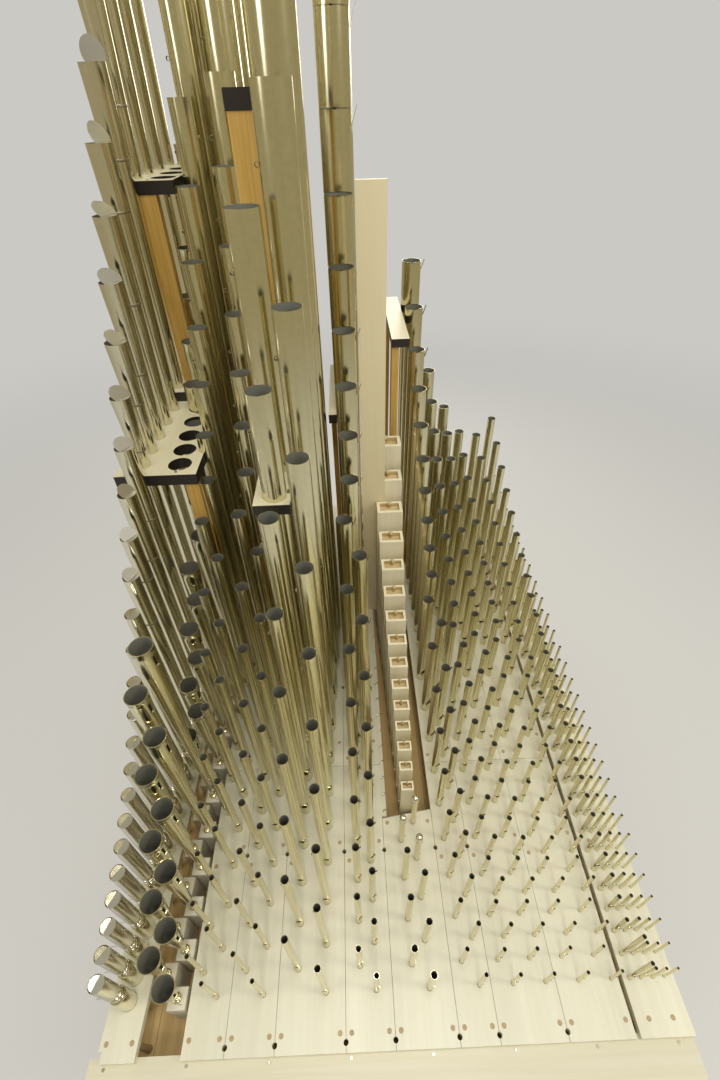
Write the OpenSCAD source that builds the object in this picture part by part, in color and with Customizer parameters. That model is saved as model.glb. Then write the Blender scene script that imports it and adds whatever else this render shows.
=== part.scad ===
// One division of a pipe organ: a slider windchest on legs with its ranks of pipes.
// X runs across the ranks, Y along the notes from treble (front) to bass, Z up from the floor.

/* [Chest] */
// Height of the rack boards' top face over the floor
rack_top = 1200; // [1000:10:1500]
// Thickness of a rack board
rack_t = 22; // [15:1:30]
// Height from the toeboards' top face to the rack boards' top face
rack_rise = 150; // [120:5:190]
// Thickness of a toeboard
toeboard_t = 25; // [15:1:35]
// Thickness of a slider
slider_t = 8; // [5:1:12]
// Thickness of the table under the sliders
table_t = 12; // [8:1:20]
// Height of the chest's grid of channels
grid_h = 100; // [70:5:140]
// Thickness of the grid's cheeks
cheek_t = 30; // [20:1:45]
// Thickness of one channel bar
channel_bar_t = 12; // [8:1:16]
// Height of the pallet box under the grid
pallet_box_h = 160; // [120:5:220]
// Length of the pallet box along the notes
pallet_box_l = 560; // [400:10:700]
// Thickness of the pallet box's walls
pallet_wall = 24; // [18:1:32]
// Seam between two neighbouring boards
seam = 1; // [0.5:0.1:2]

/* [Board widths] */
// Reed board at the left edge
reed_board_w = 95; // [90:1:110]
// Open recess where the trumpet boots stand
recess_w = 114; // [110:1:130]
// Diapason board
diapason_board_w = 108; // [106:1:130]
// Salicional board
salicional_board_w = 126; // [124:1:150]
// Violone board
violone_board_w = 180; // [178:1:210]
// Gemshorn board
gemshorn_board_w = 126; // [124:1:150]
// Stopped flute board
stopped_board_w = 162; // [158:1:190]
// Octave board
octave_board_w = 101; // [98:1:130]
// Quint board, which carries two ranks
quint_board_w = 173; // [170:1:200]
// Tierce board, which carries two ranks
tierce_board_w = 169; // [168:1:200]
// Mixture board, which carries four ranks
mixture_board_w = 138; // [134:1:160]
// Gap between the tierce board and the mixture board
mixture_gap = 11; // [6:1:20]

/* [Rows of notes] */
// Notes on the chest, one row each
notes = 28; // [24:1:28]
// Front edge of the rack boards to the first row
first_row = 117; // [110:1:130]
// Last row to the back edge of the rack boards
back_margin = 136; // [100:1:200]
// Distance between the first two rows
row_pitch = 51.1; // [50:0.1:54]
// How fast the rows spread towards the bass
row_growth = 0.0001; // [0.00009:0.00001:0.00012]
// Last row that zigzags between two columns, past it a rank stands in one line
zigzag_rows = 18; // [16:1:19]
// Rows in which a pipe's length doubles
octave_rows = 6; // [6:0.1:6.5]

/* [Pipe scales] */
// Body length and diameter of the diapason's top note, and the rows in which its diameter doubles
diapason = [108, 11, 8.7]; // [6:0.1:130]
// The same for the salicional
salicional = [111, 11.5, 8.3]; // [6:0.1:130]
// The same for the violone
violone = [218.7, 15.8, 7.6]; // [6:0.1:230]
// The same for the gemshorn
gemshorn = [106, 14, 8.95]; // [6:0.1:130]
// The same for the octave
octave = [54, 11.5, 10]; // [6:0.1:130]
// The same for the quint
quint = [34, 10.5, 10.8]; // [6:0.1:130]
// The same for the superoctave
superoctave = [26, 10, 11.6]; // [6:0.1:130]
// The same for the tierce
tierce = [20, 9, 11.6]; // [6:0.1:130]
// The same for the larigot
larigot = [19, 8, 11.6]; // [6:0.1:130]
// Notes of the stopped flute that are of metal
metal_flute_notes = 9; // [8:1:9]
// Outside width of the first wooden pipe
wood_w = 40.5; // [36:0.5:44]
// Share of its width that a wooden pipe is deep
wood_depth = 0.7; // [0.6:0.05:0.75]
// Wall of a wooden pipe
wood_wall = 6; // [4:0.5:8]
// Height of a flue pipe's mouth over the rack board
mouth_rise = 45; // [35:1:60]
// Clearance round a pipe in its rack hole
hole_clear = 0.4; // [0.2:0.1:1]

/* [Reeds] */
// Diameter of a short reed's boot
boot_d = 43; // [38:1:44]
// Height of a short reed's boot over the rack board
boot_rise = 100; // [90:1:110]
// Diameter of a short reed's resonator
resonator_d = 38; // [28:1:39]
// Side of a trumpet's square wooden boot
trumpet_boot_w = 48; // [40:1:49]
// Height of a trumpet's wooden boot, a little over the rack boards
trumpet_boot_h = 160; // [152:1:170]
// Height of the basses' wooden boots, which end under the rack boards
bass_boot_h = 90; // [70:1:100]
// Diameter at the top of the first trumpet
trumpet_d = 57; // [50:1:58]
// Trumpets with double length, counted from the treble
harmonic_notes = 11; // [11:1:12]

/* [Upper racks] */
// Height of the left upper rack's top over the rack boards
left_rack_z = 1005; // [990:1:1040]
// Height of the rear upper rack's top over the rack boards
rear_rack_z = 1633; // [1600:1:1700]
// Height of the bass rack's top over the rack boards
bass_rack_z = 1822; // [1700:1:1900]
// Height of the violone's and the gemshorn's small racks over the rack boards
small_rack_z = 1036; // [1020:1:1060]
// Height of the long rack beside the octave over the rack boards
octave_rack_z = 1139; // [1120:1:1160]
// Thickness of the upper racks
upper_t = 34; // [28:1:40]

/* [Frame] */
// Side of a leg
leg_w = 90; // [70:1:110]
// Height of a sleeper on the floor
sleeper_h = 60; // [40:1:90]
// Width of a sleeper
sleeper_w = 120; // [100:1:160]
// Height of the beams under the grid
beam_h = 90; // [70:1:120]
// Height of the rails between the legs
rail_h = 90; // [60:1:120]
// Height of the rails' underside over the floor
rail_z = 300; // [200:10:450]

/* [Hidden] */
$fn = 48;

// Levels from the rack boards down to the floor
rack_under = rack_top - rack_t;
toe_z = rack_top - rack_rise;
slider_z = toe_z - toeboard_t - slider_t;
table_z = slider_z - table_t;
grid_z = table_z - grid_h;
beam_z = grid_z - beam_h;
pallet_z = grid_z - pallet_box_h;

// Boards from left to right: widths and names
board_widths = [reed_board_w, recess_w, diapason_board_w, salicional_board_w, violone_board_w,
    gemshorn_board_w, stopped_board_w, octave_board_w, quint_board_w, tierce_board_w,
    mixture_gap, mixture_board_w];
board_names = ["reed", "recess", "diapason", "salicional", "violone", "gemshorn", "stopped", "octave",
    "quint", "tierce", "mixture gap", "mixture"];
function place_of(name) = search([name], board_names)[0];
function width_before(i) = i == 0 ? 0 : width_before(i - 1) + board_widths[i - 1];
chest_w = width_before(len(board_widths));
function left_of(name) = width_before(place_of(name)) - chest_w / 2;
function right_of(name) = left_of(name) + board_widths[place_of(name)];
function middle_of(name) = (left_of(name) + right_of(name)) / 2;

// The chest's front and back, and the place of each row of notes
function spread(n) = (n - 1) * (n - 2) / 2;
function row_run(n) = row_pitch * ((n - 1) + row_growth * pow(spread(n), 2));
chest_l = first_row + row_run(notes) + back_margin;
front_y = -chest_l / 2;
back_y = chest_l / 2;
function row_y(n) = front_y + first_row + row_run(n);
function longer(n) = pow(2, (n - 1) / octave_rows);
function odd(n) = n % 2 == 1;

// A rank's column: rows alternate to both sides of its middle as far as the zigzag goes
function column_x(middle, stagger, n, last = zigzag_rows) =
    n > last ? middle : middle + (odd(n) ? 1 : -1) * stagger / 2;

// Stagger of each board's zigzag
diapason_stagger = 43;
salicional_stagger = 52;
violone_stagger = 76;
gemshorn_stagger = 42;
stopped_stagger = 43;
octave_stagger = 39;
twin_stagger = 29;
mixture_pitch = 31;

// Where two ranks share a board, each lies this far from its middle
twin_left = -42;
twin_right = 45;
tierce_left = -38;
tierce_right = 50;

// The bass pipes at the left spread a little so that they clear each other
function bass_spread(n) = max(0, n - 22);
function diapason_x(n) = column_x(middle_of("diapason") - 3, diapason_stagger, n) + 2 * bass_spread(n);
function salicional_x(n) = column_x(middle_of("salicional") - 1, salicional_stagger, n);
function violone_x(n) = column_x(middle_of("violone"), violone_stagger, n, notes);
function gemshorn_x(n) = column_x(middle_of("gemshorn") - 1, gemshorn_stagger, n);
function stopped_x(n) = column_x(middle_of("stopped") - 3, stopped_stagger, n);
function octave_x(n) = column_x(middle_of("octave"), octave_stagger, n);
function quint_x(n) = column_x(middle_of("quint") + twin_left, twin_stagger, n);
function superoctave_x(n) = column_x(middle_of("quint") + twin_right, twin_stagger, n);
function tierce_x(n) = column_x(middle_of("tierce") + tierce_left, twin_stagger, n);
function larigot_x(n) = column_x(middle_of("tierce") + tierce_right, twin_stagger, n);
function mixture_x(k) = middle_of("mixture") + (k - 1.5) * mixture_pitch - 4;

// The short reed's line leans inwards towards the bass
reed_lean = 43;
function reed_x(n) = middle_of("reed") + reed_lean * min(1, (n - 1) / (zigzag_rows - 1));

// The trumpets' zigzag narrows towards the bass, and the last ones stand in one line
trumpet_right = right_of("recess") - 31;
trumpet_stagger = 40;
trumpet_narrowing = 17;
bass_trumpet_in = 14;
bass_trumpet_lean = 4;
function trumpet_x(n) = n > zigzag_rows
    ? right_of("recess") - bass_trumpet_in - bass_trumpet_lean * (n - zigzag_rows - 1)
    : trumpet_right - (odd(n) ? 0 : trumpet_stagger - trumpet_narrowing * (n - 1) / (zigzag_rows - 1));
function boot_h(n) = n > zigzag_rows ? bass_boot_h : trumpet_boot_h;

// Scale of a rank: diameter and top of note n
function scale_d(rank, n) = rank[1] * pow(2, (n - 1) / rank[2]);
function mouth_z(d) = rack_rise + mouth_rise + d * 0.1;
top_rise = 82;
function pipe_top(rank, n) = rack_rise + top_rise + rank[0] * longer(n);
function toe_r(d) = min(d * 0.4, 4 + d * 0.05);
function metal_t(d) = max(0.8, d * 0.012);
// A foot is a cone, and the rack hole fits it at the rack board's top face
function foot_r(d) = toe_r(d) + (d / 2 - toe_r(d)) * rack_rise / mouth_z(d);

// Sizes of the mixture's four ranks
mixture_d = [10.5, 9, 7.6, 6.4];
mixture_doubling = [15, 23, 24, 26];
mixture_top = [180, 117, 106, 102];
mixture_top_rows = [14, 24.4, 20.5, 25];
function mix_d(k, n) = mixture_d[k] * pow(2, (n - 1) / mixture_doubling[k]);
function mix_top(k, n) = rack_rise + (k == 0 && n > 2 ? 90 + 22.5 * longer(n)
    : mixture_top[k] * pow(2, (n - 1) / mixture_top_rows[k]));

// The violone's left column ends before its right one, so its last notes are odd ones
violone_notes = concat([for (n = [1:19]) n], [21]);
violone_bass = [18, 19, 21];

// Metal stopped flute: open trebles first, then the capped ones
flute_d = 18;
capped_from = 7;
function flute_top(n) = rack_rise + (n < capped_from ? 162 + 14 * (n - 1) : 172 + 6 * (n - capped_from));

// Wooden pipe sizes
wood_last = 24;
wood_foot_h = 60;
function wood_x() = middle_of("stopped");
function wood_width(n) = wood_w * pow(2, (n - metal_flute_notes - 1) / 9.6);
function wood_top(n) = rack_rise - 13 + 56.2 * longer(n);

// Reed sizes
block_h = 14;
boot_top = rack_rise + boot_rise;
treble_reeds = 10;
// A reed's top over the rack boards: a base, and a length that doubles every so many rows
function top_over(base, length, rows, n) = rack_rise + base + length * pow(2, (n - 1) / rows);
function reed_top(n) = n <= treble_reeds ? top_over(boot_rise, 144, 6.3, n) : top_over(-357, 444.7, 9.87, n);
function trumpet_top(n) = n <= harmonic_notes ? top_over(-78, 227, 5, n) : top_over(-436, 357.6, 10.5, n);
function trumpet_top_d(n) = trumpet_d * pow(2, max(0, n - harmonic_notes - 1) / trumpet_doubling);
trumpet_doubling = 38;
trumpet_tip_d = 9;
boot_socket = 12;

module at(x, y, z = toe_z) {
    translate([x, y, z]) children();
}

// A board from its low corner to its high corner
module board(low, high) {
    translate(low) cube(high - low);
}

// An open metal flue pipe: conical foot, languid, body and mouth, turned to face its side
module flue_pipe(d, top, turn = 0) {
    r = d / 2;
    t = metal_t(d);
    mouth = mouth_z(d);
    languid = max(1, t * 1.2);
    mouth_w = d * 0.72;
    cut_up = d * 0.22;
    rotate([0, 0, turn]) {
        difference() {
            rotate_extrude()
                polygon([[toe_r(d) - t, 0], [toe_r(d), 0], [r, mouth], [r, top], [r - t, top],
                    [r - t, mouth + languid], [0, mouth + languid], [0, mouth], [r - t, mouth]]);
            translate([-mouth_w / 2, -r - 1, mouth + languid])
                cube([mouth_w, r * 0.45 + 1, cut_up]);
        }
    }
}

// Holes for a rank's feet through the rack board
module foot_hole(x, y, d) {
    at(x, y, rack_under - 1) cylinder(d = 2 * foot_r(d) + 2 * hole_clear, h = rack_t + 2);
}

// Supports on the floor
leg_inset = 100;
leg_xs = [left_of("reed") + leg_inset, right_of("mixture") - leg_inset];
leg_ys = [front_y + leg_w / 2 + 10, 0, back_y - leg_w / 2 - 10];

module sleepers() {
    color("#8a6a42")
        for (y = leg_ys)
            translate([leg_xs[0] - leg_w, y - sleeper_w / 2, 0])
                cube([leg_xs[1] - leg_xs[0] + 2 * leg_w, sleeper_w, sleeper_h]);
}

module legs() {
    color("#c58b45")
        for (x = leg_xs, y = leg_ys)
            translate([x - leg_w / 2, y - leg_w / 2, sleeper_h]) cube([leg_w, leg_w, beam_z - sleeper_h]);
}

module leg_rails() {
    color("#c58b45")
        for (y = leg_ys)
            translate([leg_xs[0] + leg_w / 2, y - cheek_t / 2, rail_z])
                cube([leg_xs[1] - leg_xs[0] - leg_w, cheek_t, rail_h]);
}

module side_beams() {
    color("#c58b45")
        for (x = leg_xs)
            translate([x - leg_w / 2, front_y, beam_z]) cube([leg_w, chest_l, beam_h]);
}

// The pallet box hangs under the grid between the beams, open to the front
pallet_left = leg_xs[0] + leg_w / 2 + 15;
pallet_right = leg_xs[1] - leg_w / 2 - 15;
module pallet_box() {
    color("#b98a55")
        difference() {
            board([pallet_left, front_y, pallet_z], [pallet_right, front_y + pallet_box_l, grid_z]);
            board([pallet_left + pallet_wall, front_y - 1, pallet_z + pallet_wall],
                [pallet_right - pallet_wall, front_y + pallet_box_l - pallet_wall, grid_z + 1]);
        }
}

// Face boards that close the pallet box
bung_count = 3;
bung_t = 20;
module bung_boards() {
    inner_w = pallet_right - pallet_left - 2 * pallet_wall;
    bung_w = inner_w / bung_count;
    color("#cda069")
        for (i = [0:bung_count - 1])
            board([pallet_left + pallet_wall + i * bung_w + seam / 2, front_y, pallet_z + pallet_wall],
                [pallet_left + pallet_wall + (i + 1) * bung_w - seam / 2, front_y + bung_t, grid_z]);
}

// The grid's long cheeks, and its ends between them
module chest_cheeks() {
    color("#b98a55") {
        board([left_of("reed"), front_y, grid_z], [left_of("reed") + cheek_t, back_y, table_z]);
        board([right_of("mixture") - cheek_t, front_y, grid_z], [right_of("mixture"), back_y, table_z]);
    }
}

module chest_ends() {
    color("#b98a55") {
        board([left_of("reed") + cheek_t, front_y, grid_z], [right_of("mixture") - cheek_t, front_y + cheek_t, table_z]);
        board([left_of("reed") + cheek_t, back_y - cheek_t, grid_z], [right_of("mixture") - cheek_t, back_y, table_z]);
    }
}

// One bar between each two rows' channels
module channel_bars() {
    color("#a97d4c")
        for (n = [1:notes - 1]) {
            y = (row_y(n) + row_y(n + 1)) / 2;
            board([left_of("reed") + cheek_t, y - channel_bar_t / 2, grid_z],
                [right_of("mixture") - cheek_t, y + channel_bar_t / 2, table_z]);
        }
}

module table_board() {
    color("#8d6b4b")
        board([left_of("reed"), front_y, table_z], [right_of("mixture"), back_y, slider_z]);
}

// One slider under each board, with a fixed bearer on either side of it
bearer_w = 14;
slider_out = 18;
slider_boards = ["reed", "recess", "diapason", "salicional", "violone", "gemshorn", "stopped", "octave", "quint",
    "tierce", "mixture"];
module sliders() {
    color("#b59a78")
        for (i = slider_boards)
            board([left_of(i) + bearer_w, front_y - slider_out, slider_z],
                [right_of(i) - bearer_w, back_y + slider_out, toe_z - toeboard_t]);
}

module slider_bearers() {
    color("#a48a68")
        for (i = slider_boards) {
            board([left_of(i) + seam / 2, front_y, slider_z],
                [left_of(i) + bearer_w - seam, back_y, toe_z - toeboard_t]);
            board([right_of(i) - bearer_w + seam, front_y, slider_z],
                [right_of(i) - seam / 2, back_y, toe_z - toeboard_t]);
        }
}

module toeboards() {
    color("#a8805e")
        for (i = slider_boards)
            board([left_of(i) + seam / 2, front_y, toe_z - toeboard_t],
                [right_of(i) - seam / 2, back_y, toe_z]);
}

// The boards that close the chest's front end
cover_l = 108;
cover_t = 20;
fascia_t = 22;
cover_side = 25;
module front_fascia() {
    color("#e3c893")
        board([left_of("reed"), front_y - cover_l, grid_z],
            [right_of("mixture"), front_y - cover_l + fascia_t, rack_under - cover_t]);
}

module fascia_returns() {
    color("#e3c893")
        for (x = [left_of("reed"), right_of("mixture") - fascia_t])
            board([x, front_y - cover_l + fascia_t, grid_z], [x + fascia_t, front_y, rack_under - cover_t]);
}

// The cover's back edge lies on the toeboards' end strip
module front_cover_board() {
    color("#e9dcb4")
        board([left_of("reed") - cover_side, front_y - cover_l, rack_under - cover_t],
            [right_of("mixture"), front_y + 12, rack_under]);
}

// Turned pillars between the toeboards and the rack boards, with a tenon flush with the top
pillar_d = 20;
pillar_shoulder = 4;
tenon_d = 12;
pillar_in = 15;
pillar_front = 36;
pillar_back = 28;
zig_boards = ["diapason", "salicional", "violone", "gemshorn", "octave", "quint", "tierce"];
function pillar_places() = [
    for (i = zig_boards, y = [front_y + pillar_front, back_y - pillar_back],
        x = [left_of(i) + pillar_in, right_of(i) - pillar_in]) [x, y],
    for (i = zig_boards) [left_of(i) + pillar_in, row_y(7)],
    for (i = zig_boards) [right_of(i) - pillar_in, row_y(8)],
    for (i = zig_boards) [left_of(i) + pillar_in, row_y(13)],
    for (i = zig_boards) [right_of(i) - pillar_in, row_y(14)],
    for (x = [left_of("reed") + pillar_in, right_of("reed") - pillar_in]) [x, front_y + pillar_front],
    for (x = [left_of("stopped") + pillar_in, right_of("stopped") - pillar_in]) [x, front_y + pillar_front],
    [left_of("stopped") + pillar_in, row_y(9)],
    [right_of("stopped") - pillar_in, row_y(9)],
    [left_of("reed") + pillar_in, back_y - pillar_back],
    for (k = [0.5, 2.5], y = [front_y + pillar_front, (row_y(7) + row_y(8)) / 2, back_y - pillar_back])
        [mixture_x(k), y]
];
module rack_pillars() {
    color("#c9a574")
        for (p = pillar_places())
            at(p[0], p[1])
                rotate_extrude()
                    polygon([[0, 0], [pillar_d / 2, 0], [pillar_d / 2, pillar_shoulder],
                        [pillar_d / 2 - 2, pillar_shoulder + 3],
                        [pillar_d / 2 - 2, rack_rise - rack_t - pillar_shoulder - 3],
                        [pillar_d / 2, rack_rise - rack_t - pillar_shoulder],
                        [pillar_d / 2, rack_rise - rack_t], [tenon_d / 2, rack_rise - rack_t],
                        [tenon_d / 2, rack_rise], [0, rack_rise]]);
}
module tenon_holes() {
    for (p = pillar_places())
        at(p[0], p[1], rack_under - 1) cylinder(d = tenon_d + 0.2, h = rack_t + 2);
}

// A rack board blank with a seam to its neighbours
module rack_blank(i) {
    board([left_of(i) + seam / 2, front_y, rack_under], [right_of(i) - seam / 2, back_y, rack_top]);
}

// The boards are jointed across in the middle, and screwed down through holes on their seams
cross_seam_y = (row_y(12) + row_y(13)) / 2;
screw_hole_d = 13;
screw_front = 19;
module cross_seam() {
    board([left_of("diapason") - 1, cross_seam_y - seam / 2, rack_under - 1],
        [right_of("tierce") + 1, cross_seam_y + seam / 2, rack_top + 1]);
}
function screw_rows(name) = name == "gemshorn" || name == "stopped"
    ? [front_y + screw_front, (row_y(7) + row_y(8)) / 2]
    : [front_y + screw_front, (row_y(7) + row_y(8)) / 2, (row_y(17) + row_y(18)) / 2];
module screw_holes() {
    for (name = ["diapason", "salicional", "violone", "gemshorn", "stopped", "octave", "quint"],
        y = screw_rows(name))
        at(right_of(name), y, rack_under - 1) cylinder(d = screw_hole_d, h = rack_t + 2);
}

reed_inset = 8;
module reed_rack_board() {
    color("#ead9b0")
        difference() {
            translate([0, 0, rack_under])
                linear_extrude(height = rack_t)
                    polygon([[left_of("reed"), front_y + 22], [left_of("reed") + reed_inset, front_y + 22],
                        [left_of("reed") + reed_inset, front_y], [right_of("reed"), front_y],
                        [right_of("reed") + reed_lean / 2 + 2, row_y(zigzag_rows)],
                        [right_of("reed") + reed_lean / 2 + 2, back_y], [left_of("reed"), back_y]]);
            for (n = [1:notes])
                at(reed_x(n), row_y(n), rack_under - 1) cylinder(d = boot_d + 2 * hole_clear, h = rack_t + 2);
            tenon_holes();
        }
}

module rack_boards_left() {
    color("#ead9b0")
        difference() {
            union() {
                rack_blank("diapason");
                rack_blank("salicional");
                rack_blank("violone");
            }
            for (n = [1:notes]) {
                foot_hole(diapason_x(n), row_y(n), scale_d(diapason, n));
                foot_hole(salicional_x(n), row_y(n), scale_d(salicional, n));
            }
            for (n = violone_notes)
                foot_hole(violone_x(n), row_y(n), scale_d(violone, n));
            tenon_holes();
            cross_seam();
            screw_holes();
        }
}

// The stopped flute's board ends at a slanted edge where the wooden pipes start, and a narrow rail
// runs on beside them
slant_near = row_y(metal_flute_notes) + 14;
slant_far = slant_near + 22;
hook_rail_w = 15;
module rack_boards_middle() {
    color("#d8c08a")
        board([right_of("gemshorn") - seam / 2, slant_near + 6, rack_under],
            [right_of("gemshorn") + hook_rail_w, row_y(wood_last), rack_top]);
    color("#ead9b0")
        difference() {
            union() {
                rack_blank("gemshorn");
                rack_blank("octave");
                translate([0, 0, rack_under])
                    linear_extrude(height = rack_t)
                        polygon([[left_of("stopped") + seam / 2, front_y], [right_of("stopped") - seam / 2, front_y],
                            [right_of("stopped") - seam / 2, slant_far], [left_of("stopped") + seam / 2, slant_near]]);
            }
            for (n = [1:notes]) {
                foot_hole(gemshorn_x(n), row_y(n), scale_d(gemshorn, n));
                foot_hole(octave_x(n), row_y(n), scale_d(octave, n));
            }
            for (n = [1:metal_flute_notes])
                foot_hole(stopped_x(n), row_y(n), flute_d);
            tenon_holes();
            cross_seam();
            screw_holes();
        }
}

module rack_boards_right() {
    color("#ead9b0")
        difference() {
            union() {
                rack_blank("quint");
                rack_blank("tierce");
                rack_blank("mixture");
            }
            for (n = [1:notes]) {
                foot_hole(quint_x(n), row_y(n), scale_d(quint, n));
                foot_hole(superoctave_x(n), row_y(n), scale_d(superoctave, n));
                foot_hole(tierce_x(n), row_y(n), scale_d(tierce, n));
                foot_hole(larigot_x(n), row_y(n), scale_d(larigot, n));
                for (k = [0:3])
                    foot_hole(mixture_x(k), row_y(n), mix_d(k, n));
            }
            tenon_holes();
            cross_seam();
            screw_holes();
        }
}

// Upper racks. Each holds tall pipes well above their feet
module tube_hole(x, n, d, z) {
    at(x, row_y(n), rack_top) cylinder(d = d + 2 * hole_clear, h = z + upper_t + 1);
}

// The left rack has a second board on its far end
left_rack_front = row_y(zigzag_rows) + resonator_d / 2 + 1;
left_rack_left = left_of("reed") + 20;
second_front = row_y(24) - 50;
second_back = row_y(26) + 47;
second_top = left_rack_z + upper_t;
module left_upper_rack() {
    color("#d9c9a0")
        difference() {
            union() {
                board([left_rack_left, left_rack_front, rack_top + left_rack_z - upper_t],
                    [right_of("recess") + 43, row_y(24) + 42, rack_top + left_rack_z]);
                board([left_rack_left, second_front, rack_top + left_rack_z],
                    [right_of("recess") + 58, second_back, rack_top + second_top]);
            }
            for (n = [zigzag_rows + 1:26]) {
                tube_hole(reed_x(n), n, resonator_d, left_rack_z);
                tube_hole(trumpet_x(n), n, trumpet_top_d(max(n, 21)), left_rack_z);
                if (n > 19) tube_hole(diapason_x(n), n, scale_d(diapason, n), left_rack_z);
            }
        }
}

rear_rack_left = left_of("reed") + 47;
rear_rack_front = row_y(25) - 76;
rear_rack_back = row_y(notes) + 46;
module rear_upper_rack() {
    color("#d9c9a0")
        difference() {
            board([rear_rack_left, rear_rack_front, rack_top + rear_rack_z - upper_t],
                [right_of("recess") + 6, rear_rack_back, rack_top + rear_rack_z]);
            for (n = [25:notes]) {
                tube_hole(reed_x(n), n, resonator_d, rear_rack_z);
                tube_hole(trumpet_x(n), n, trumpet_top_d(n), rear_rack_z);
            }
        }
}

// Small racks: round the violone's left column, at the gemshorn's basses, on the wide plank, and
// along the octave's basses
small_rack_t = 30;
violone_rack_left = left_of("violone") - 1;
violone_post_y = row_y(17) - 16;
gemshorn_rack_left = left_of("gemshorn") + 3;
gemshorn_post_y = (row_y(23) + row_y(24)) / 2 - 11;
bass_rack_l = 200;
bass_rack_t = 40;
bass_rack_front = row_y(violone_notes[len(violone_notes) - 1]) + 54;
bass_rack_x = middle_of("violone") - 20;
bass_rack_w = 145;
octave_rack_left = right_of("stopped") - 57;
octave_rack_w = 65;
octave_rack_front = row_y(25) - 6;
octave_rack_back = row_y(notes) + 113;
module small_upper_racks() {
    small_under = rack_top + small_rack_z - small_rack_t;
    color("#d9c9a0") {
        difference() {
            board([violone_rack_left, row_y(16) - 42, small_under],
                [violone_x(18) + 40, row_y(18) + 58, rack_top + small_rack_z]);
            for (n = [16, 18])
                tube_hole(violone_x(n), n, scale_d(violone, n), small_rack_z);
        }
        difference() {
            board([gemshorn_rack_left, row_y(22) - 49, small_under],
                [gemshorn_x(22) + 15, row_y(25) + 38, rack_top + small_rack_z]);
            for (n = [22:25])
                tube_hole(gemshorn_x(n), n, scale_d(gemshorn, n), small_rack_z);
        }
        board([bass_rack_x - bass_rack_w / 2, bass_rack_front, rack_top + bass_rack_z - bass_rack_t],
            [bass_rack_x + bass_rack_w / 2, bass_rack_front + bass_rack_l, rack_top + bass_rack_z]);
        board([octave_rack_left, octave_rack_front, rack_top + octave_rack_z - small_rack_t],
            [octave_rack_left + octave_rack_w, octave_rack_back, rack_top + octave_rack_z]);
    }
}

// Pine posts from the chest up to the upper racks, and the plain stay behind the wooden pipes
thin_post = 20;
front_post_w = 38;
rear_post_x = right_of("recess") - 105;
rear_post_w = 54;
rear_post_l = 33;
octave_post_w = 26;
octave_post_l = 60;
stay_x = left_of("stopped") - 20;
stay_w = 84;
stay_h = 1640;
plank_w = 139;
plank_t = 45;
module upper_rack_posts() {
    left_under = rack_top + left_rack_z - upper_t;
    rear_under = rack_top + rear_rack_z - upper_t;
    small_under = rack_top + small_rack_z - small_rack_t;
    color("#d99a45") {
        board([left_of("diapason") + 2, left_rack_front + 8, rack_top],
            [left_of("diapason") + 2 + front_post_w, left_rack_front + 30, left_under]);
        board([left_rack_left, second_back - 2 * thin_post, rack_top],
            [left_rack_left + thin_post, second_back, rack_top + left_rack_z]);
        board([rear_post_x, rear_rack_front + 2, rack_top + second_top],
            [rear_post_x + rear_post_w, rear_rack_front + 2 + rear_post_l, rear_under]);
        board([rear_rack_left, rear_rack_back - 2 * thin_post, rack_top],
            [rear_rack_left + thin_post, rear_rack_back, rear_under]);
        board([left_of("violone") + 2, violone_post_y, rack_top],
            [left_of("violone") + 2 + thin_post, violone_post_y + 30, small_under]);
        board([gemshorn_rack_left, gemshorn_post_y, rack_top],
            [gemshorn_rack_left + thin_post - 2, gemshorn_post_y + 22, small_under]);
        board([bass_rack_x - plank_w / 2, bass_rack_front + 2, rack_top],
            [bass_rack_x + plank_w / 2, bass_rack_front + 2 + plank_t, rack_top + bass_rack_z - bass_rack_t]);
        for (y = [octave_rack_front + 8, octave_rack_back - octave_post_l - 8])
            board([octave_rack_left + 2, y, toe_z],
                [octave_rack_left + 2 + octave_post_w, y + octave_post_l,
                    rack_top + octave_rack_z - small_rack_t]);
        board([stay_x, row_y(22) + wood_width(22) * wood_depth / 2 + 4, rack_top],
            [stay_x + stay_w, row_y(23) - wood_width(23) * wood_depth / 2 - 4, rack_top + stay_h]);
    }
}

// Short reeds: a boot with a rounded shoulder, a ring-shaped block, a resonator that opens from a
// cone into a tube, and a lid
boot_wall = 1.5;
shoulder_r = 12;
neck_r = boot_d / 2 - shoulder_r;
module reed_boots() {
    color("#b9b4a0")
        for (n = [1:notes])
            at(reed_x(n), row_y(n))
                rotate_extrude()
                    difference() {
                        union() {
                            polygon([[0, 0], [7, 0], [boot_d / 2, 70], [boot_d / 2, boot_top - shoulder_r],
                                [0, boot_top - shoulder_r]]);
                            translate([0, boot_top - shoulder_r]) square([neck_r, shoulder_r]);
                            intersection() {
                                translate([neck_r, boot_top - shoulder_r]) circle(r = shoulder_r);
                                translate([0, boot_top - shoulder_r - 1]) square([boot_d, shoulder_r + 1]);
                            }
                        }
                        polygon([[0, -1], [5, -1], [5.4, 1], [boot_d / 2 - boot_wall, 71],
                            [boot_d / 2 - boot_wall, boot_top - shoulder_r], [0, boot_top - shoulder_r]]);
                    }
}

ring_r = 5;
module reed_blocks() {
    color("#a8a492")
        for (n = [1:notes])
            at(reed_x(n), row_y(n), toe_z + boot_top)
                rotate_extrude()
                    difference() {
                        union() {
                            square([neck_r + 2, block_h]);
                            translate([neck_r + 2, block_h / 2]) circle(r = ring_r);
                        }
                        translate([-1, -1]) square([4, block_h + 2]);
                    }
}

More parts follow.
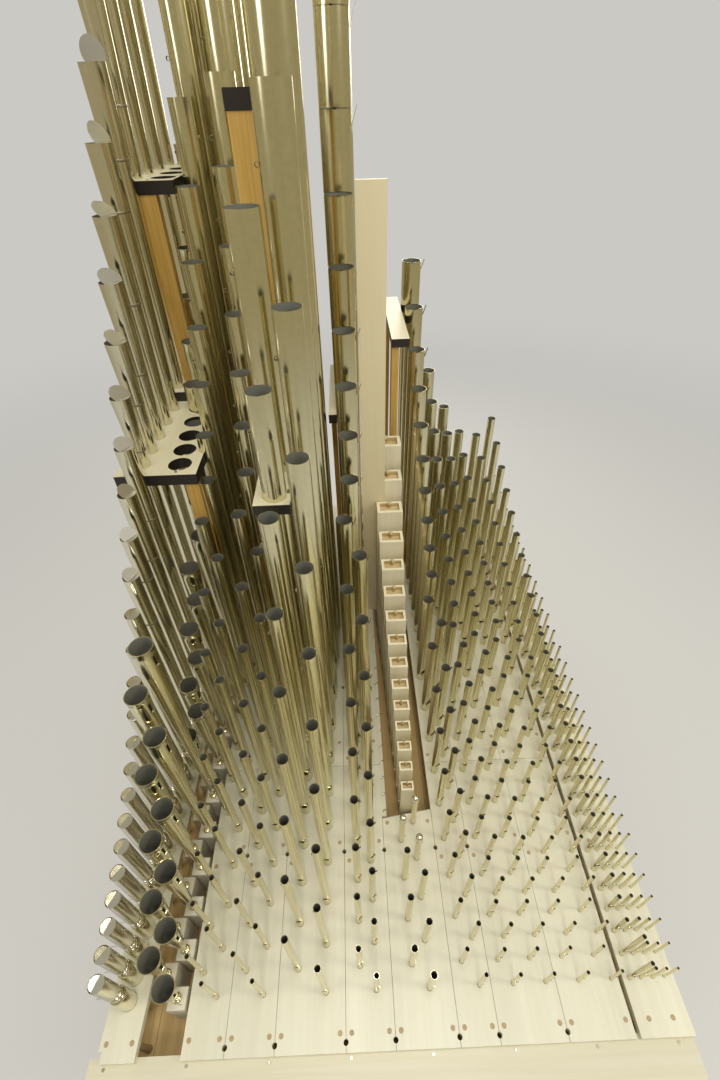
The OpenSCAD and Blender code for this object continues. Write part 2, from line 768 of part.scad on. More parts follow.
cone_h = 24;
resonator_t = 1;
module reed_resonators() {
    color("#c4bfa8")
        for (n = [1:notes]) {
            h = reed_top(n) - boot_top - block_h;
            r = resonator_d / 2;
            at(reed_x(n), row_y(n), toe_z + boot_top + block_h)
                rotate_extrude()
                    polygon([[4, 0], [8, 0], [r, cone_h], [r, h], [r - resonator_t, h], [r - resonator_t, cone_h],
                        [7, 0.8], [4, 0.8]]);
        }
}

// A lid is one disc, cut across its middle, and its half at the left is bent up
lid_t = 0.8;
lid_lift = 62;
lid_turn = -20;
module lid_half() {
    difference() {
        cylinder(d = resonator_d - lid_t, h = lid_t);
        translate([-resonator_d - lid_t * 0.7, -resonator_d, -1]) cube([resonator_d, 2 * resonator_d, 3]);
    }
}
module reed_lids() {
    color("#d0ccb8")
        for (n = [1:notes])
            at(reed_x(n), row_y(n), toe_z + reed_top(n))
                rotate([0, 0, lid_turn]) {
                    difference() {
                        cylinder(d = resonator_d, h = lid_t);
                        translate([-resonator_d, -resonator_d, -1]) cube([resonator_d, 2 * resonator_d, 3]);
                    }
                    translate([0, 0, lid_t * 0.7])
                        rotate([0, lid_lift, 0]) rotate([0, 0, 180]) lid_half();
                }
}

module trumpet_boots() {
    color("#b98d5c")
        for (n = [1:notes])
            at(trumpet_x(n), row_y(n))
                difference() {
                    translate([-trumpet_boot_w / 2, -trumpet_boot_w / 2, 0])
                        cube([trumpet_boot_w, trumpet_boot_w, boot_h(n)]);
                    translate([0, 0, boot_h(n) - boot_socket]) cylinder(d = trumpet_tip_d - 2, h = 20);
                }
}

module trumpet_resonators() {
    color("#c4bfa8")
        for (n = [1:notes]) {
            h = trumpet_top(n) - boot_h(n);
            r = trumpet_top_d(n) / 2;
            at(trumpet_x(n), row_y(n), toe_z + boot_h(n))
                rotate_extrude()
                    polygon([[trumpet_tip_d / 2 - 1, 0], [trumpet_tip_d / 2, 0], [r, h], [r - 1, h]]);
        }
}

module diapason_pipes() {
    color("#c4bfa8")
        for (n = [1:notes])
            at(diapason_x(n), row_y(n)) flue_pipe(scale_d(diapason, n), pipe_top(diapason, n));
}

module salicional_pipes() {
    color("#c4bfa8")
        for (n = [1:notes])
            at(salicional_x(n), row_y(n)) flue_pipe(scale_d(salicional, n), pipe_top(salicional, n));
}

bass_share = 3;
module violone_pipes() {
    color("#c4bfa8")
        for (n = [1:violone_bass[0] - 1])
            at(violone_x(n), row_y(n)) flue_pipe(scale_d(violone, n), pipe_top(violone, n));
}

module violone_bass_pipes() {
    color("#c4bfa8")
        for (n = violone_bass)
            at(violone_x(n), row_y(n)) flue_pipe(scale_d(violone, n), pipe_top(violone, n));
}

module gemshorn_pipes() {
    color("#c4bfa8")
        for (n = [1:notes - bass_share])
            at(gemshorn_x(n), row_y(n)) flue_pipe(scale_d(gemshorn, n), pipe_top(gemshorn, n));
}

module gemshorn_bass_pipes() {
    color("#c4bfa8")
        for (n = [notes - bass_share + 1:notes])
            at(gemshorn_x(n), row_y(n)) flue_pipe(scale_d(gemshorn, n), pipe_top(gemshorn, n));
}

module stopped_flute_pipes() {
    color("#c4bfa8")
        for (n = [1:metal_flute_notes])
            at(stopped_x(n), row_y(n)) flue_pipe(flute_d, flute_top(n), 90);
}

cap_t = 1;
cap_skirt = 24;
module stopped_flute_caps() {
    cap_r = flute_d / 2 + hole_clear + cap_t;
    color("#dcd8c8")
        for (n = [capped_from:metal_flute_notes])
            at(stopped_x(n), row_y(n), toe_z + flute_top(n))
                rotate_extrude()
                    polygon([[0, 0], [flute_d / 2 + hole_clear, 0], [flute_d / 2 + hole_clear, -cap_skirt],
                        [cap_r, -cap_skirt], [cap_r, 1], [cap_r * 0.9, 3], [cap_r * 0.6, 5],
                        [cap_r * 0.3, 6], [0, 6.3]]);
}

module wooden_pipe_bodies() {
    color("#c99a62")
        for (n = [metal_flute_notes + 1:wood_last]) {
            w = wood_width(n);
            d = w * wood_depth;
            h = wood_top(n) - wood_foot_h;
            at(wood_x(), row_y(n)) {
                difference() {
                    union() {
                        cylinder(d1 = d * 0.3, d2 = d * 0.5, h = wood_foot_h + 1);
                        translate([-w / 2, -d / 2, wood_foot_h]) cube([w, d, h]);
                    }
                    translate([-w / 2 + wood_wall, -d / 2 + wood_wall, wood_foot_h + 12])
                        cube([w - 2 * wood_wall, d - 2 * wood_wall, h]);
                    translate([-w / 2 + wood_wall, -d, wood_foot_h + 12])
                        cube([w - 2 * wood_wall, d, w * 0.3]);
                    translate([0, 0, -1]) cylinder(d = d * 0.15, h = wood_foot_h + 6);
                }
            }
        }
}

stopper_down = 14;
module wooden_pipe_stoppers() {
    color("#d8b27c")
        for (n = [metal_flute_notes + 1:wood_last]) {
            w = wood_width(n) - 2 * wood_wall;
            d = wood_width(n) * wood_depth - 2 * wood_wall;
            at(wood_x(), row_y(n), toe_z + wood_top(n) - stopper_down) {
                translate([-w / 2, -d / 2, -20]) cube([w, d, 20]);
                translate([0, d * 0.1, -1]) cylinder(d = d * 0.3, h = 12);
                translate([0, d * 0.1, 11]) cylinder(d1 = d * 0.3, d2 = d * 0.44, h = 10);
                translate([0, d * 0.1, 21]) sphere(d = d * 0.44);
            }
        }
}

module octave_pipes() {
    color("#c4bfa8")
        for (n = [1:notes])
            at(octave_x(n), row_y(n)) flue_pipe(scale_d(octave, n), pipe_top(octave, n));
}

module quint_and_superoctave_pipes() {
    color("#c4bfa8")
        for (n = [1:notes]) {
            at(quint_x(n), row_y(n)) flue_pipe(scale_d(quint, n), pipe_top(quint, n));
            at(superoctave_x(n), row_y(n)) flue_pipe(scale_d(superoctave, n), pipe_top(superoctave, n));
        }
}

module tierce_and_larigot_pipes() {
    color("#c4bfa8")
        for (n = [1:notes]) {
            at(tierce_x(n), row_y(n)) flue_pipe(scale_d(tierce, n), pipe_top(tierce, n));
            at(larigot_x(n), row_y(n)) flue_pipe(scale_d(larigot, n), pipe_top(larigot, n));
        }
}

module mixture_pipes() {
    color("#c4bfa8")
        for (n = [1:notes], k = [0:3])
            at(mixture_x(k), row_y(n)) flue_pipe(mix_d(k, n), mix_top(k, n));
}

sleepers();
legs();
leg_rails();
side_beams();
pallet_box();
bung_boards();
chest_cheeks();
chest_ends();
channel_bars();
table_board();
sliders();
slider_bearers();
toeboards();
front_fascia();
fascia_returns();
front_cover_board();
rack_pillars();
reed_rack_board();
rack_boards_left();
rack_boards_middle();
rack_boards_right();
left_upper_rack();
rear_upper_rack();
small_upper_racks();
upper_rack_posts();
reed_boots();
reed_blocks();
reed_resonators();
reed_lids();
trumpet_boots();
trumpet_resonators();
diapason_pipes();
salicional_pipes();
violone_pipes();
violone_bass_pipes();
gemshorn_pipes();
gemshorn_bass_pipes();
stopped_flute_pipes();
stopped_flute_caps();
wooden_pipe_bodies();
wooden_pipe_stoppers();
octave_pipes();
quint_and_superoctave_pipes();
tierce_and_larigot_pipes();
mixture_pipes();
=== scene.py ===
# One division of a pipe organ, dressed for rendering: a slider windchest on its frame, the pale
# rack boards over it, pine posts and upper racks, and the ranks of metal, reed and wooden pipes.
import itertools
import math

import bmesh
import bpy
import numpy as np
from mathutils import Matrix, Vector


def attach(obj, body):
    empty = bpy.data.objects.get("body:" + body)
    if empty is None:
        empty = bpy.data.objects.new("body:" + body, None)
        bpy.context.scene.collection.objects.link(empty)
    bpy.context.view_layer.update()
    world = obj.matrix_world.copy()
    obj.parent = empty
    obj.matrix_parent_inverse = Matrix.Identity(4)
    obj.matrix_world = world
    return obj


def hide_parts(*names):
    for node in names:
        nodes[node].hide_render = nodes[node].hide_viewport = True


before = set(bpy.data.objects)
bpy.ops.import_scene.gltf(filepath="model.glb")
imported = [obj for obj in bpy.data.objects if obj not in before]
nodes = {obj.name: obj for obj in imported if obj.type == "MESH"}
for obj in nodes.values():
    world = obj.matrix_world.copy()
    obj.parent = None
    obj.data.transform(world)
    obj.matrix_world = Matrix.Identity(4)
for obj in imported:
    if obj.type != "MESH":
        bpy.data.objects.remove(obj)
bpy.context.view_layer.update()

# The camera and the studio.
# The photograph was taken from above the treble end, looking down along the rows of notes with a
# very wide lens. The floor and the world are pale and plain, and five round lamps stand about. What
# metal mirrors is a painted reflection: a warmer and dimmer colour than the backdrop, seen only by
# glossy rays.
scene = bpy.context.scene
scene.view_settings.view_transform = "Standard"


def linked(name, data):
    """A new object in the scene."""
    made = bpy.data.objects.new(name, data)
    scene.collection.objects.link(made)
    return made


rack_top = 1.2
eye = Vector((-0.0565, -1.259, rack_top + 1.8))
eye_right = Vector((0.99927, -0.0325, -0.02304)).normalized()
eye_forward = Vector((0.00947, 0.7556, -0.6550)).normalized()
eye_up = eye_right.cross(eye_forward).normalized()
turn = Matrix((eye_right, eye_up, -eye_forward)).transposed().to_4x4()
camera = linked("camera", bpy.data.cameras.new("camera"))
camera.matrix_world = Matrix.Translation(eye) @ turn
camera.data.lens = 17.05
camera.data.sensor_width = 36
camera.data.clip_end = 60
scene.camera = camera


def lamp(name, place, aim, size, power, colour):
    light = bpy.data.lights.new(name, "AREA")
    light.shape = "DISK"
    light.size = size
    light.energy = power
    light.color = colour
    holder = linked(name, light)
    holder.location = place
    holder.rotation_euler = (Vector(aim) - Vector(place)).to_track_quat("-Z", "Y").to_euler()


lamp("right_lamp", (3.2, -1.6, 4.6), (0, 0, rack_top), 1.2, 36, (1.0, 0.98, 0.92))
lamp("left_lamp", (-4.0, -2.5, 4.0), (0, 0, rack_top), 2.0, 28, (0.97, 0.98, 1.0))
lamp("top_lamp", (0.2, -0.9, 6.6), (0, -0.1, rack_top), 1.6, 68, (1.0, 0.99, 0.94))
lamp("front_lamp", (0.1, -3.4, 6.2), (0, 0.4, rack_top), 0.9, 42, (1.0, 0.99, 0.95))
lamp("rear_lamp", (0.5, 5.0, 3.6), (0, 0, 1.5), 2.0, 50, (1.0, 0.97, 0.9))
BACKDROP = (0.80, 0.79, 0.75, 1)
BACKDROP_LEVEL = 0.74
AMBIENT_LEVEL = 0.72
# Painted reflection: the warmer and dimmer colour that metal shows instead of the pale backdrop
PAINTED_ROOM_REFLECTION = (0.50, 0.44, 0.28, 1)
# Distances from the object's middle between which the floor turns into backdrop
SHADOW_REACH = 2.0
HORIZON_START = 9.0


def set_inputs(tree, node, inputs):
    """Links the inputs that are given a socket, and sets the others to their value."""
    for place, value in dict(inputs).items():
        if isinstance(value, bpy.types.NodeSocket):
            tree.links.new(value, node.inputs[place])
        else:
            node.inputs[place].default_value = value


def add_node(tree, kind, inputs=(), **settings):
    """A new node with its settings and inputs. Inputs go by name or by place."""
    node = tree.nodes.new(kind)
    for name, value in settings.items():
        setattr(node, name, value)
    set_inputs(tree, node, inputs)
    return node


def number(tree, operation, *values):
    """The result of a math node on sockets or plain numbers."""
    return add_node(tree, "ShaderNodeMath", enumerate(values), operation=operation).outputs[0]


def colour_mix(tree, factor, first, second):
    inputs = {"Factor": factor, "A": first, "B": second}
    return add_node(tree, "ShaderNodeMix", inputs, data_type="RGBA").outputs["Result"]


def own_place(tree):
    """The object's own coordinates."""
    return add_node(tree, "ShaderNodeTexCoord").outputs["Object"]


def new_material(name):
    material = bpy.data.materials.new(name)
    material.use_nodes = True
    tree = material.node_tree
    return material, tree, tree.nodes["Principled BSDF"]


def seen_directly(tree):
    """1 for rays from the camera and for those that metal or glass sends on, otherwise 0."""
    rays = add_node(tree, "ShaderNodeLightPath").outputs
    shown = number(tree, "MAXIMUM", rays["Is Camera Ray"], rays["Is Glossy Ray"])
    return number(tree, "MAXIMUM", shown, rays["Is Transmission Ray"])


def backdrop_colour(tree):
    """The pale backdrop, or for glossy rays a painted reflection that is warmer and dimmer."""
    mirrored = add_node(tree, "ShaderNodeLightPath").outputs["Is Glossy Ray"]
    return colour_mix(tree, mirrored, BACKDROP, PAINTED_ROOM_REFLECTION)


world = bpy.data.worlds.new("studio")
scene.world = world
world.use_nodes = True
sky_tree = world.node_tree
sky_levels = {"Value": seen_directly(sky_tree), "To Min": AMBIENT_LEVEL, "To Max": BACKDROP_LEVEL}
sky_strength = add_node(sky_tree, "ShaderNodeMapRange", sky_levels).outputs["Result"]
sky_inputs = {"Color": backdrop_colour(sky_tree), "Strength": sky_strength}
set_inputs(sky_tree, sky_tree.nodes["Background"], sky_inputs)


def floor_material():
    """Pale and matt under the object, where it keeps the shadow, and plain backdrop far from it."""
    material, tree, matt = new_material("studio_floor")
    set_inputs(tree, matt, {"Base Color": (0.72, 0.71, 0.68, 1), "Roughness": 0.9})
    length = add_node(tree, "ShaderNodeVectorMath", {0: own_place(tree)}, operation="LENGTH")
    distance = length.outputs["Value"]
    span = {"Value": distance, "From Min": SHADOW_REACH, "From Max": HORIZON_START}
    away = add_node(tree, "ShaderNodeMapRange", span, interpolation_type="SMOOTHSTEP").outputs["Result"]
    share = number(tree, "MULTIPLY", away, seen_directly(tree))
    glow = add_node(tree, "ShaderNodeEmission", {"Color": backdrop_colour(tree), "Strength": BACKDROP_LEVEL})
    blend = add_node(tree, "ShaderNodeMixShader", {0: share, 1: matt.outputs[0], 2: glow.outputs[0]})
    tree.links.new(blend.outputs[0], tree.nodes["Material Output"].inputs["Surface"])
    return material


floor_half = 30
floor_corners = [(-floor_half, -floor_half, 0), (floor_half, -floor_half, 0),
                 (floor_half, floor_half, 0), (-floor_half, floor_half, 0)]
floor_mesh = bpy.data.meshes.new("studio_floor")
floor_mesh.from_pydata(floor_corners, [], [(0, 1, 2, 3)])
floor_mesh.materials.append(floor_material())
floor = linked("studio_floor", floor_mesh)

# The frame under the chest: sleepers, legs, rails and beams.
# Planed pine, oiled to an orange tone, with long grain and darker pores. Each timber keeps its own
# shape from the frame and gets its wood here.


def group_tree(name, kind, inputs, outputs):
    """A node group with its named sockets, and the sockets that hold what it is given."""
    tree = bpy.data.node_groups.new(name, kind)
    for title, (sort, value) in inputs.items():
        socket = tree.interface.new_socket(name=title, in_out="INPUT", socket_type="NodeSocket" + sort)
        if value is not None:
            socket.default_value = value
    for title, sort in outputs.items():
        tree.interface.new_socket(name=title, in_out="OUTPUT", socket_type="NodeSocket" + sort)
    return tree, add_node(tree, "NodeGroupInput").outputs


def stretched(tree, scale):
    """The object's own coordinates, with a scale for each axis."""
    factors = {0: own_place(tree), 1: scale}
    return add_node(tree, "ShaderNodeVectorMath", factors, operation="MULTIPLY").outputs[0]


def noise(tree, vector, scale, detail, roughness=0.5):
    inputs = {"Vector": vector, "Scale": scale, "Detail": detail, "Roughness": roughness}
    return add_node(tree, "ShaderNodeTexNoise", inputs).outputs["Fac"]


def scaled_colour(tree, colour, factor):
    inputs = {0: colour, "Scale": factor}
    return add_node(tree, "ShaderNodeVectorMath", inputs, operation="SCALE").outputs[0]


def wood_grain_group():
    """Long grain with fine pores: a mask between the light and the dark wood, and a height for bump."""
    inputs = {"Grain Scale": ("Vector", (30.0, 1.2, 30.0)), "Ring Scale": ("Float", 2.0),
              "Pore Share": ("Float", 0.35)}
    tree, given = group_tree("wood_grain", "ShaderNodeTree", inputs, {"Grain": "Float", "Height": "Float"})
    place = stretched(tree, given["Grain Scale"])
    band_width = 0.16
    bands = number(tree, "PINGPONG", noise(tree, place, given["Ring Scale"], 4, 0.55), band_width)
    band_mask = add_node(tree, "ShaderNodeMapRange", {"Value": bands, "From Max": band_width})
    pores = noise(tree, place, 14, 2)
    blend = {"Factor": given["Pore Share"], "A": band_mask.outputs["Result"], "B": pores}
    mix = add_node(tree, "ShaderNodeMix", blend)
    add_node(tree, "NodeGroupOutput", {"Grain": mix.outputs["Result"], "Height": pores})
    return tree


def tone_group():
    """Slow change of tone over a surface, such as from board to board or where hands have been."""
    inputs = {"Colour": ("Color", (0.8, 0.8, 0.8, 1)), "Scale": ("Vector", (6.0, 0.4, 1.0)),
              "Depth": ("Float", 0.15)}
    tree, given = group_tree("slow_tone", "ShaderNodeTree", inputs, {"Colour": "Color"})
    span = {"Value": noise(tree, stretched(tree, given["Scale"]), 1, 3), "From Min": 0.3, "From Max": 0.7,
            "To Min": number(tree, "SUBTRACT", 1, given["Depth"]), "To Max": 1}
    level = add_node(tree, "ShaderNodeMapRange", span).outputs["Result"]
    add_node(tree, "NodeGroupOutput", {"Colour": scaled_colour(tree, given["Colour"], level)})
    return tree


WOOD_GRAIN = wood_grain_group()
SLOW_TONE = tone_group()


def place_group(tree, group, **values):
    """The results of a group. An underscore in a name stands for the blank in the socket's name."""
    inputs = {name.replace("_", " "): value for name, value in values.items()}
    return add_node(tree, "ShaderNodeGroup", inputs, node_tree=group).outputs


def wood(name, light, dark, grain_scale, ring_scale=2.0, pores=0.35, rough=0.5, bump=0.15,
         tone_scale=(6.0, 0.4, 1.0), tone_depth=0.12, coat=0.0):
    material, tree, shader = new_material(name)
    grain = place_group(tree, WOOD_GRAIN, Grain_Scale=grain_scale, Ring_Scale=ring_scale, Pore_Share=pores)
    blend = colour_mix(tree, grain["Grain"], (*light, 1), (*dark, 1))
    tone = place_group(tree, SLOW_TONE, Colour=blend, Scale=tone_scale, Depth=tone_depth)
    pore_depth = {"Strength": bump, "Distance": 0.0006, "Height": grain["Height"]}
    relief = add_node(tree, "ShaderNodeBump", pore_depth).outputs["Normal"]
    set_inputs(tree, shader, {"Base Color": tone["Colour"], "Normal": relief, "Roughness": rough,
                              "Coat Weight": coat, "Coat Roughness": 0.3})
    return material


def dress(name, material):
    """Gives a frame node its material. Its shape and place stay."""
    mesh = nodes[name].data
    mesh.materials.clear()
    mesh.materials.append(material)


ALONG_X = (1.2, 30.0, 30.0)
ALONG_Y = (30.0, 1.2, 30.0)
UPRIGHT = (30.0, 30.0, 1.2)
PINE_LIGHT = (0.78, 0.50, 0.22)
PINE_DARK = (0.56, 0.30, 0.10)
dress("sleepers", wood("sleeper_pine", (0.50, 0.35, 0.19), (0.33, 0.21, 0.10), ALONG_X, rough=0.65))
dress("legs", wood("leg_pine", PINE_LIGHT, PINE_DARK, UPRIGHT, tone_scale=(3, 3, 0.5)))
dress("leg_rails", wood("rail_pine", PINE_LIGHT, PINE_DARK, ALONG_X, tone_scale=(0.5, 3, 3)))
dress("side_beams", wood("beam_pine", PINE_LIGHT, PINE_DARK, ALONG_Y))

# The windchest: pallet box, bung boards, cheeks, bars, table, sliders and toeboards.
# Beech, varnished to a warm brown. The toeboards show in the open recesses as golden boards with a
# change of tone along them.
CHEST_LIGHT = (0.56, 0.37, 0.20)
CHEST_DARK = (0.40, 0.24, 0.12)
chest_along = wood("chest_beech", CHEST_LIGHT, CHEST_DARK, ALONG_Y, rough=0.42, coat=0.2)
chest_across = wood("chest_beech_across", CHEST_LIGHT, CHEST_DARK, ALONG_X, rough=0.42, coat=0.2)
for name in ("chest_cheeks", "table_board", "slider_bearers", "sliders", "pallet_box"):
    dress(name, chest_along)
for name in ("chest_ends", "channel_bars", "bung_boards"):
    dress(name, chest_across)
# The toeboards' golden colour is lifted: partly their own, partly painted light against the shade in the
# recesses
dress("toeboards", wood("toeboard_beech", (0.86, 0.62, 0.27), (0.70, 0.46, 0.16), ALONG_Y, rough=0.5,
                        tone_scale=(14, 0.5, 1), tone_depth=0.3))

# The rack boards and the boards at the chest's front end.
# Pale maple plywood, sanded and barely lacquered, with faint long grain and a slow change of tone
# from board to board.
maple = wood("rack_maple", (0.86, 0.83, 0.66), (0.77, 0.72, 0.52), ALONG_Y, ring_scale=1.2, pores=0.6,
             rough=0.38, bump=0.06, tone_scale=(9, 0.25, 1), tone_depth=0.10, coat=0.15)
maple_across = wood("cover_maple", (0.75, 0.71, 0.54), (0.68, 0.62, 0.43), ALONG_X, ring_scale=1.2, pores=0.6,
                    rough=0.42, bump=0.06, tone_scale=(0.6, 6, 1), tone_depth=0.06, coat=0.1)
for name in ("reed_rack_board", "rack_boards_left", "rack_boards_middle", "rack_boards_right"):
    dress(name, maple)
for name in ("front_cover_board", "front_fascia", "fascia_returns"):
    dress(name, maple_across)

# The turned pillars that carry the rack boards.
# Beech dowels. Their tenons end flush with the boards and show there as round brown plugs, darker
# than the maple around them.
pillar_grain = (60.0, 60.0, 3.0)
dress("rack_pillars", wood("pillar_beech", (0.60, 0.46, 0.26), (0.44, 0.31, 0.15), pillar_grain, rough=0.55))

# The upper racks and their posts.
# The racks are veneered pale on top and stained nearly black at the edges. The posts are golden pine,
# and the wide stay between them is pale.
BLACK_STAIN_AND_BORE_SHADE = (0.022, 0.017, 0.014, 1)


def edged_rack(name):
    """Pale veneer on the faces that look up or down, and black on the others: stain on the edges, painted
    shade in the bores.
    """
    material = wood(name, (0.80, 0.745, 0.52), (0.70, 0.63, 0.41), ALONG_Y, ring_scale=1.2, pores=0.6,
                    rough=0.4)
    tree = material.node_tree
    base = tree.nodes["Principled BSDF"].inputs["Base Color"]
    veneer = base.links[0].from_socket
    facing = add_node(tree, "ShaderNodeNewGeometry").outputs["True Normal"]
    upward = number(tree, "ABSOLUTE", add_node(tree, "ShaderNodeSeparateXYZ", {0: facing}).outputs["Z"])
    flat = number(tree, "GREATER_THAN", upward, 0.5)
    # Black on every face that looks sideways: stain on the edges, painted shade inside the bores
    tree.links.new(colour_mix(tree, flat, BLACK_STAIN_AND_BORE_SHADE, veneer), base)
    return material


rack_veneer = edged_rack("upper_rack_veneer")
for name in ("left_upper_rack", "rear_upper_rack", "small_upper_racks"):
    dress(name, rack_veneer)


def post_pine(stay_left, stay_right):
    """Golden pine for the posts. The wide stay, which lies between two places across, is pale."""
    material = wood("post_pine", (0.74, 0.48, 0.13), (0.58, 0.33, 0.06), UPRIGHT, tone_scale=(3, 3, 0.5))
    tree = material.node_tree
    base = tree.nodes["Principled BSDF"].inputs["Base Color"]
    golden = base.links[0].from_socket
    across = add_node(tree, "ShaderNodeSeparateXYZ", {0: own_place(tree)}).outputs["X"]
    within = number(tree, "COMPARE", across, (stay_left + stay_right) / 2, (stay_right - stay_left) / 2)
    pale = (0.82, 0.74, 0.50, 1)
    tree.links.new(colour_mix(tree, number(tree, "MULTIPLY", within, 0.85), golden, pale), base)
    return material


dress("upper_rack_posts", post_pine(-0.030, 0.070))

# The metal flue pipes.
# Each is rolled from tin and lead sheet: a conical foot, a flat languid, a body with its lips pressed
# flat at the mouth, and ears on the larger ones. They are built where the frame's plain pipes stand.


def pipe_skin_group():
    """Long soft streaks in the roughness and a cloudy mottle in the colour."""
    inputs = {"Colour": ("Color", (0.8, 0.8, 0.8, 1)), "Roughness": ("Float", 0.25),
              "Streak": ("Float", 0.08), "Mottle": ("Float", 0.06)}
    outputs = {"Colour": "Color", "Roughness": "Float", "Height": "Float"}
    tree, given = group_tree("pipe_skin", "ShaderNodeTree", inputs, outputs)
    streaks = noise(tree, stretched(tree, (90, 90, 3)), 1, 3)
    spots = noise(tree, own_place(tree), 70, 2)
    swing = number(tree, "MULTIPLY", number(tree, "SUBTRACT", streaks, 0.5), given["Streak"])
    rough = number(tree, "ADD", given["Roughness"], swing)
    dull = number(tree, "MULTIPLY", number(tree, "MULTIPLY", spots, streaks), given["Mottle"])
    colour = scaled_colour(tree, given["Colour"], number(tree, "SUBTRACT", 1, dull))
    add_node(tree, "NodeGroupOutput", {"Colour": colour, "Roughness": rough, "Height": streaks})
    return tree


PIPE_SKIN = pipe_skin_group()


def metal(name, colour, rough, streak=0.08, mottle=0.06, metallic=1.0):
    """Planed pipe metal with long soft streaks and a faint mottle."""
    material, tree, shader = new_material(name)
    marks = place_group(tree, PIPE_SKIN, Colour=(*colour, 1), Roughness=rough, Streak=streak, Mottle=mottle)
    plane_marks = {"Strength": 0.08, "Distance": 0.0004, "Height": marks["Height"]}
    relief = add_node(tree, "ShaderNodeBump", plane_marks).outputs["Normal"]
    set_inputs(tree, shader, {"Base Color": marks["Colour"], "Roughness": marks["Roughness"],
                              "Normal": relief, "Metallic": metallic})
    return material


# The warm yellow of the pipe tin is partly its own colour and partly a painted reflection of the wood around
# it
TIN = metal("tin_lead", (0.80, 0.745, 0.505), 0.19, 0.14, 0.30)
TIN_INSIDE = metal("tin_lead_inside", (0.20, 0.195, 0.15), 0.7, metallic=0)
BRIGHT_TIN = metal("bright_tin", (0.84, 0.82, 0.76), 0.16)
LID_TIN = metal("lid_tin", (0.70, 0.71, 0.73), 0.32)
REED_TIN = metal("reed_tin", (0.81, 0.772, 0.60), 0.17, 0.14, 0.20)
SOLDER = metal("solder", (0.40, 0.36, 0.28), 0.45)


def loose_solids(name):
    """The separate solids of a frame node, each with its centre, radius, size, low and high end."""
    work = bmesh.new()
    work.from_mesh(nodes[name].data)
    bmesh.ops.remove_doubles(work, verts=work.verts, dist=0.00001)
    found = []
    seen = set()
    for start in work.verts:
        if start.index in seen:
            continue
        seen.add(start.index)
        todo = [start]
        members = []
        while todo:
            vert = todo.pop()
            members.append(vert.co[:])
            for edge in vert.link_edges:
                other = edge.other_vert(vert)
                if other.index not in seen:
                    seen.add(other.index)
                    todo.append(other)
        spots = np.array(members)
        low = spots.min(0)
        high = spots.max(0)
        middle = (low + high) / 2
        found.append({"x": middle[0], "y": middle[1], "low": low[2], "high": high[2],
                      "radius": (high[0] - low[0]) / 2, "size": high - low})
    work.free()
    return sorted(found, key=lambda solid: solid["y"])


class Sheet:
    """Collects walls of bent sheet metal into one mesh, with a slot of its own for the inside."""

    def __init__(self):
        self.verts = []
        self.faces = []
        self.slots = []

    def add(self, verts, faces, slots):
        start = len(self.verts)
        self.verts.extend(verts)
        self.faces.extend(tuple(start + corner for corner in face) for face in faces)
        self.slots.extend(slots)

    def wall(self, outer, inner, kept, outside=0):
        """A tube's wall from matching outer and inner rings. kept says which cells are metal."""
        rings = len(outer)
        count = len(outer[0])
        verts = [point for ring in outer for point in ring] + [point for ring in inner for point in ring]
        shift = rings * count
        faces = []
        slots = []

        def there(i, j):
            return 0 <= i < rings - 1 and kept(i, j % count)

        for i in range(rings - 1):
            for j in range(count):
                if not there(i, j):
                    continue
                k = (j + 1) % count
                a, b, c, d = i * count + j, i * count + k, (i + 1) * count + k, (i + 1) * count + j
                faces.append((a, b, c, d))
                slots.append(outside)
                faces.append((d + shift, c + shift, b + shift, a + shift))
                slots.append(1)
                if not there(i - 1, j):
                    faces.append((b, a, a + shift, b + shift))
                    slots.append(outside)
                if not there(i + 1, j):
                    faces.append((d, c, c + shift, d + shift))
                    slots.append(outside)
                if not there(i, j - 1):
                    faces.append((a, d, d + shift, a + shift))
                    slots.append(outside)
                if not there(i, j + 1):
                    faces.append((c, b, b + shift, c + shift))
                    slots.append(outside)
        self.add(verts, faces, slots)

    def block(self, centre, axes, half):
        """A small plate or block from its centre, its three axes and its half sizes."""
        verts = []
        for signs in itertools.product((-1, 1), repeat=3):
            corner = centre.copy()
            for axis, sign, size in zip(axes, signs, half):
                corner += axis * sign * size
            verts.append(tuple(corner))
        faces = [(0, 1, 3, 2), (4, 6, 7, 5), (0, 4, 5, 1), (2, 3, 7, 6), (0, 2, 6, 4), (1, 5, 7, 3)]
        self.add(verts, faces, [0] * 6)

    def closed(self, rings, slot=0):
        """A closed solid through matching rings, from its first ring to its last."""
        count = len(rings[0])
        top = (len(rings) - 1) * count
        faces = [tuple(reversed(range(count))), tuple(range(top, top + count))]
        for low in range(0, top, count):
            for j in range(count):
                k = (j + 1) % count
                faces.append((low + j, low + k, low + count + k, low + count + j))
        self.add([tuple(point) for ring in rings for point in ring], faces, [slot] * len(faces))

    def turned(self, x, y, profile, count, slot=0):
        """A closed turned piece: profile is a list of (radius, height) from its lowest point up."""
        ways = [(math.cos(2 * math.pi * j / count), math.sin(2 * math.pi * j / count)) for j in range(count)]
        self.closed([[(x + radius * across, y + radius * along, height) for across, along in ways]
                     for radius, height in profile], slot)

    def piece(self, name, materials, replaced=(), sharp=50):
        mesh = bpy.data.meshes.new(name)
        mesh.from_pydata(self.verts, [], self.faces)
        for material in materials:
            mesh.materials.append(material)
        mesh.polygons.foreach_set("material_index", self.slots)
        mesh.update()
        mesh.shade_smooth()
        mesh.set_sharp_from_angle(angle=math.radians(sharp))
        made = linked(name, mesh)
        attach(made, "root")
        if replaced:
            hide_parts(*replaced)


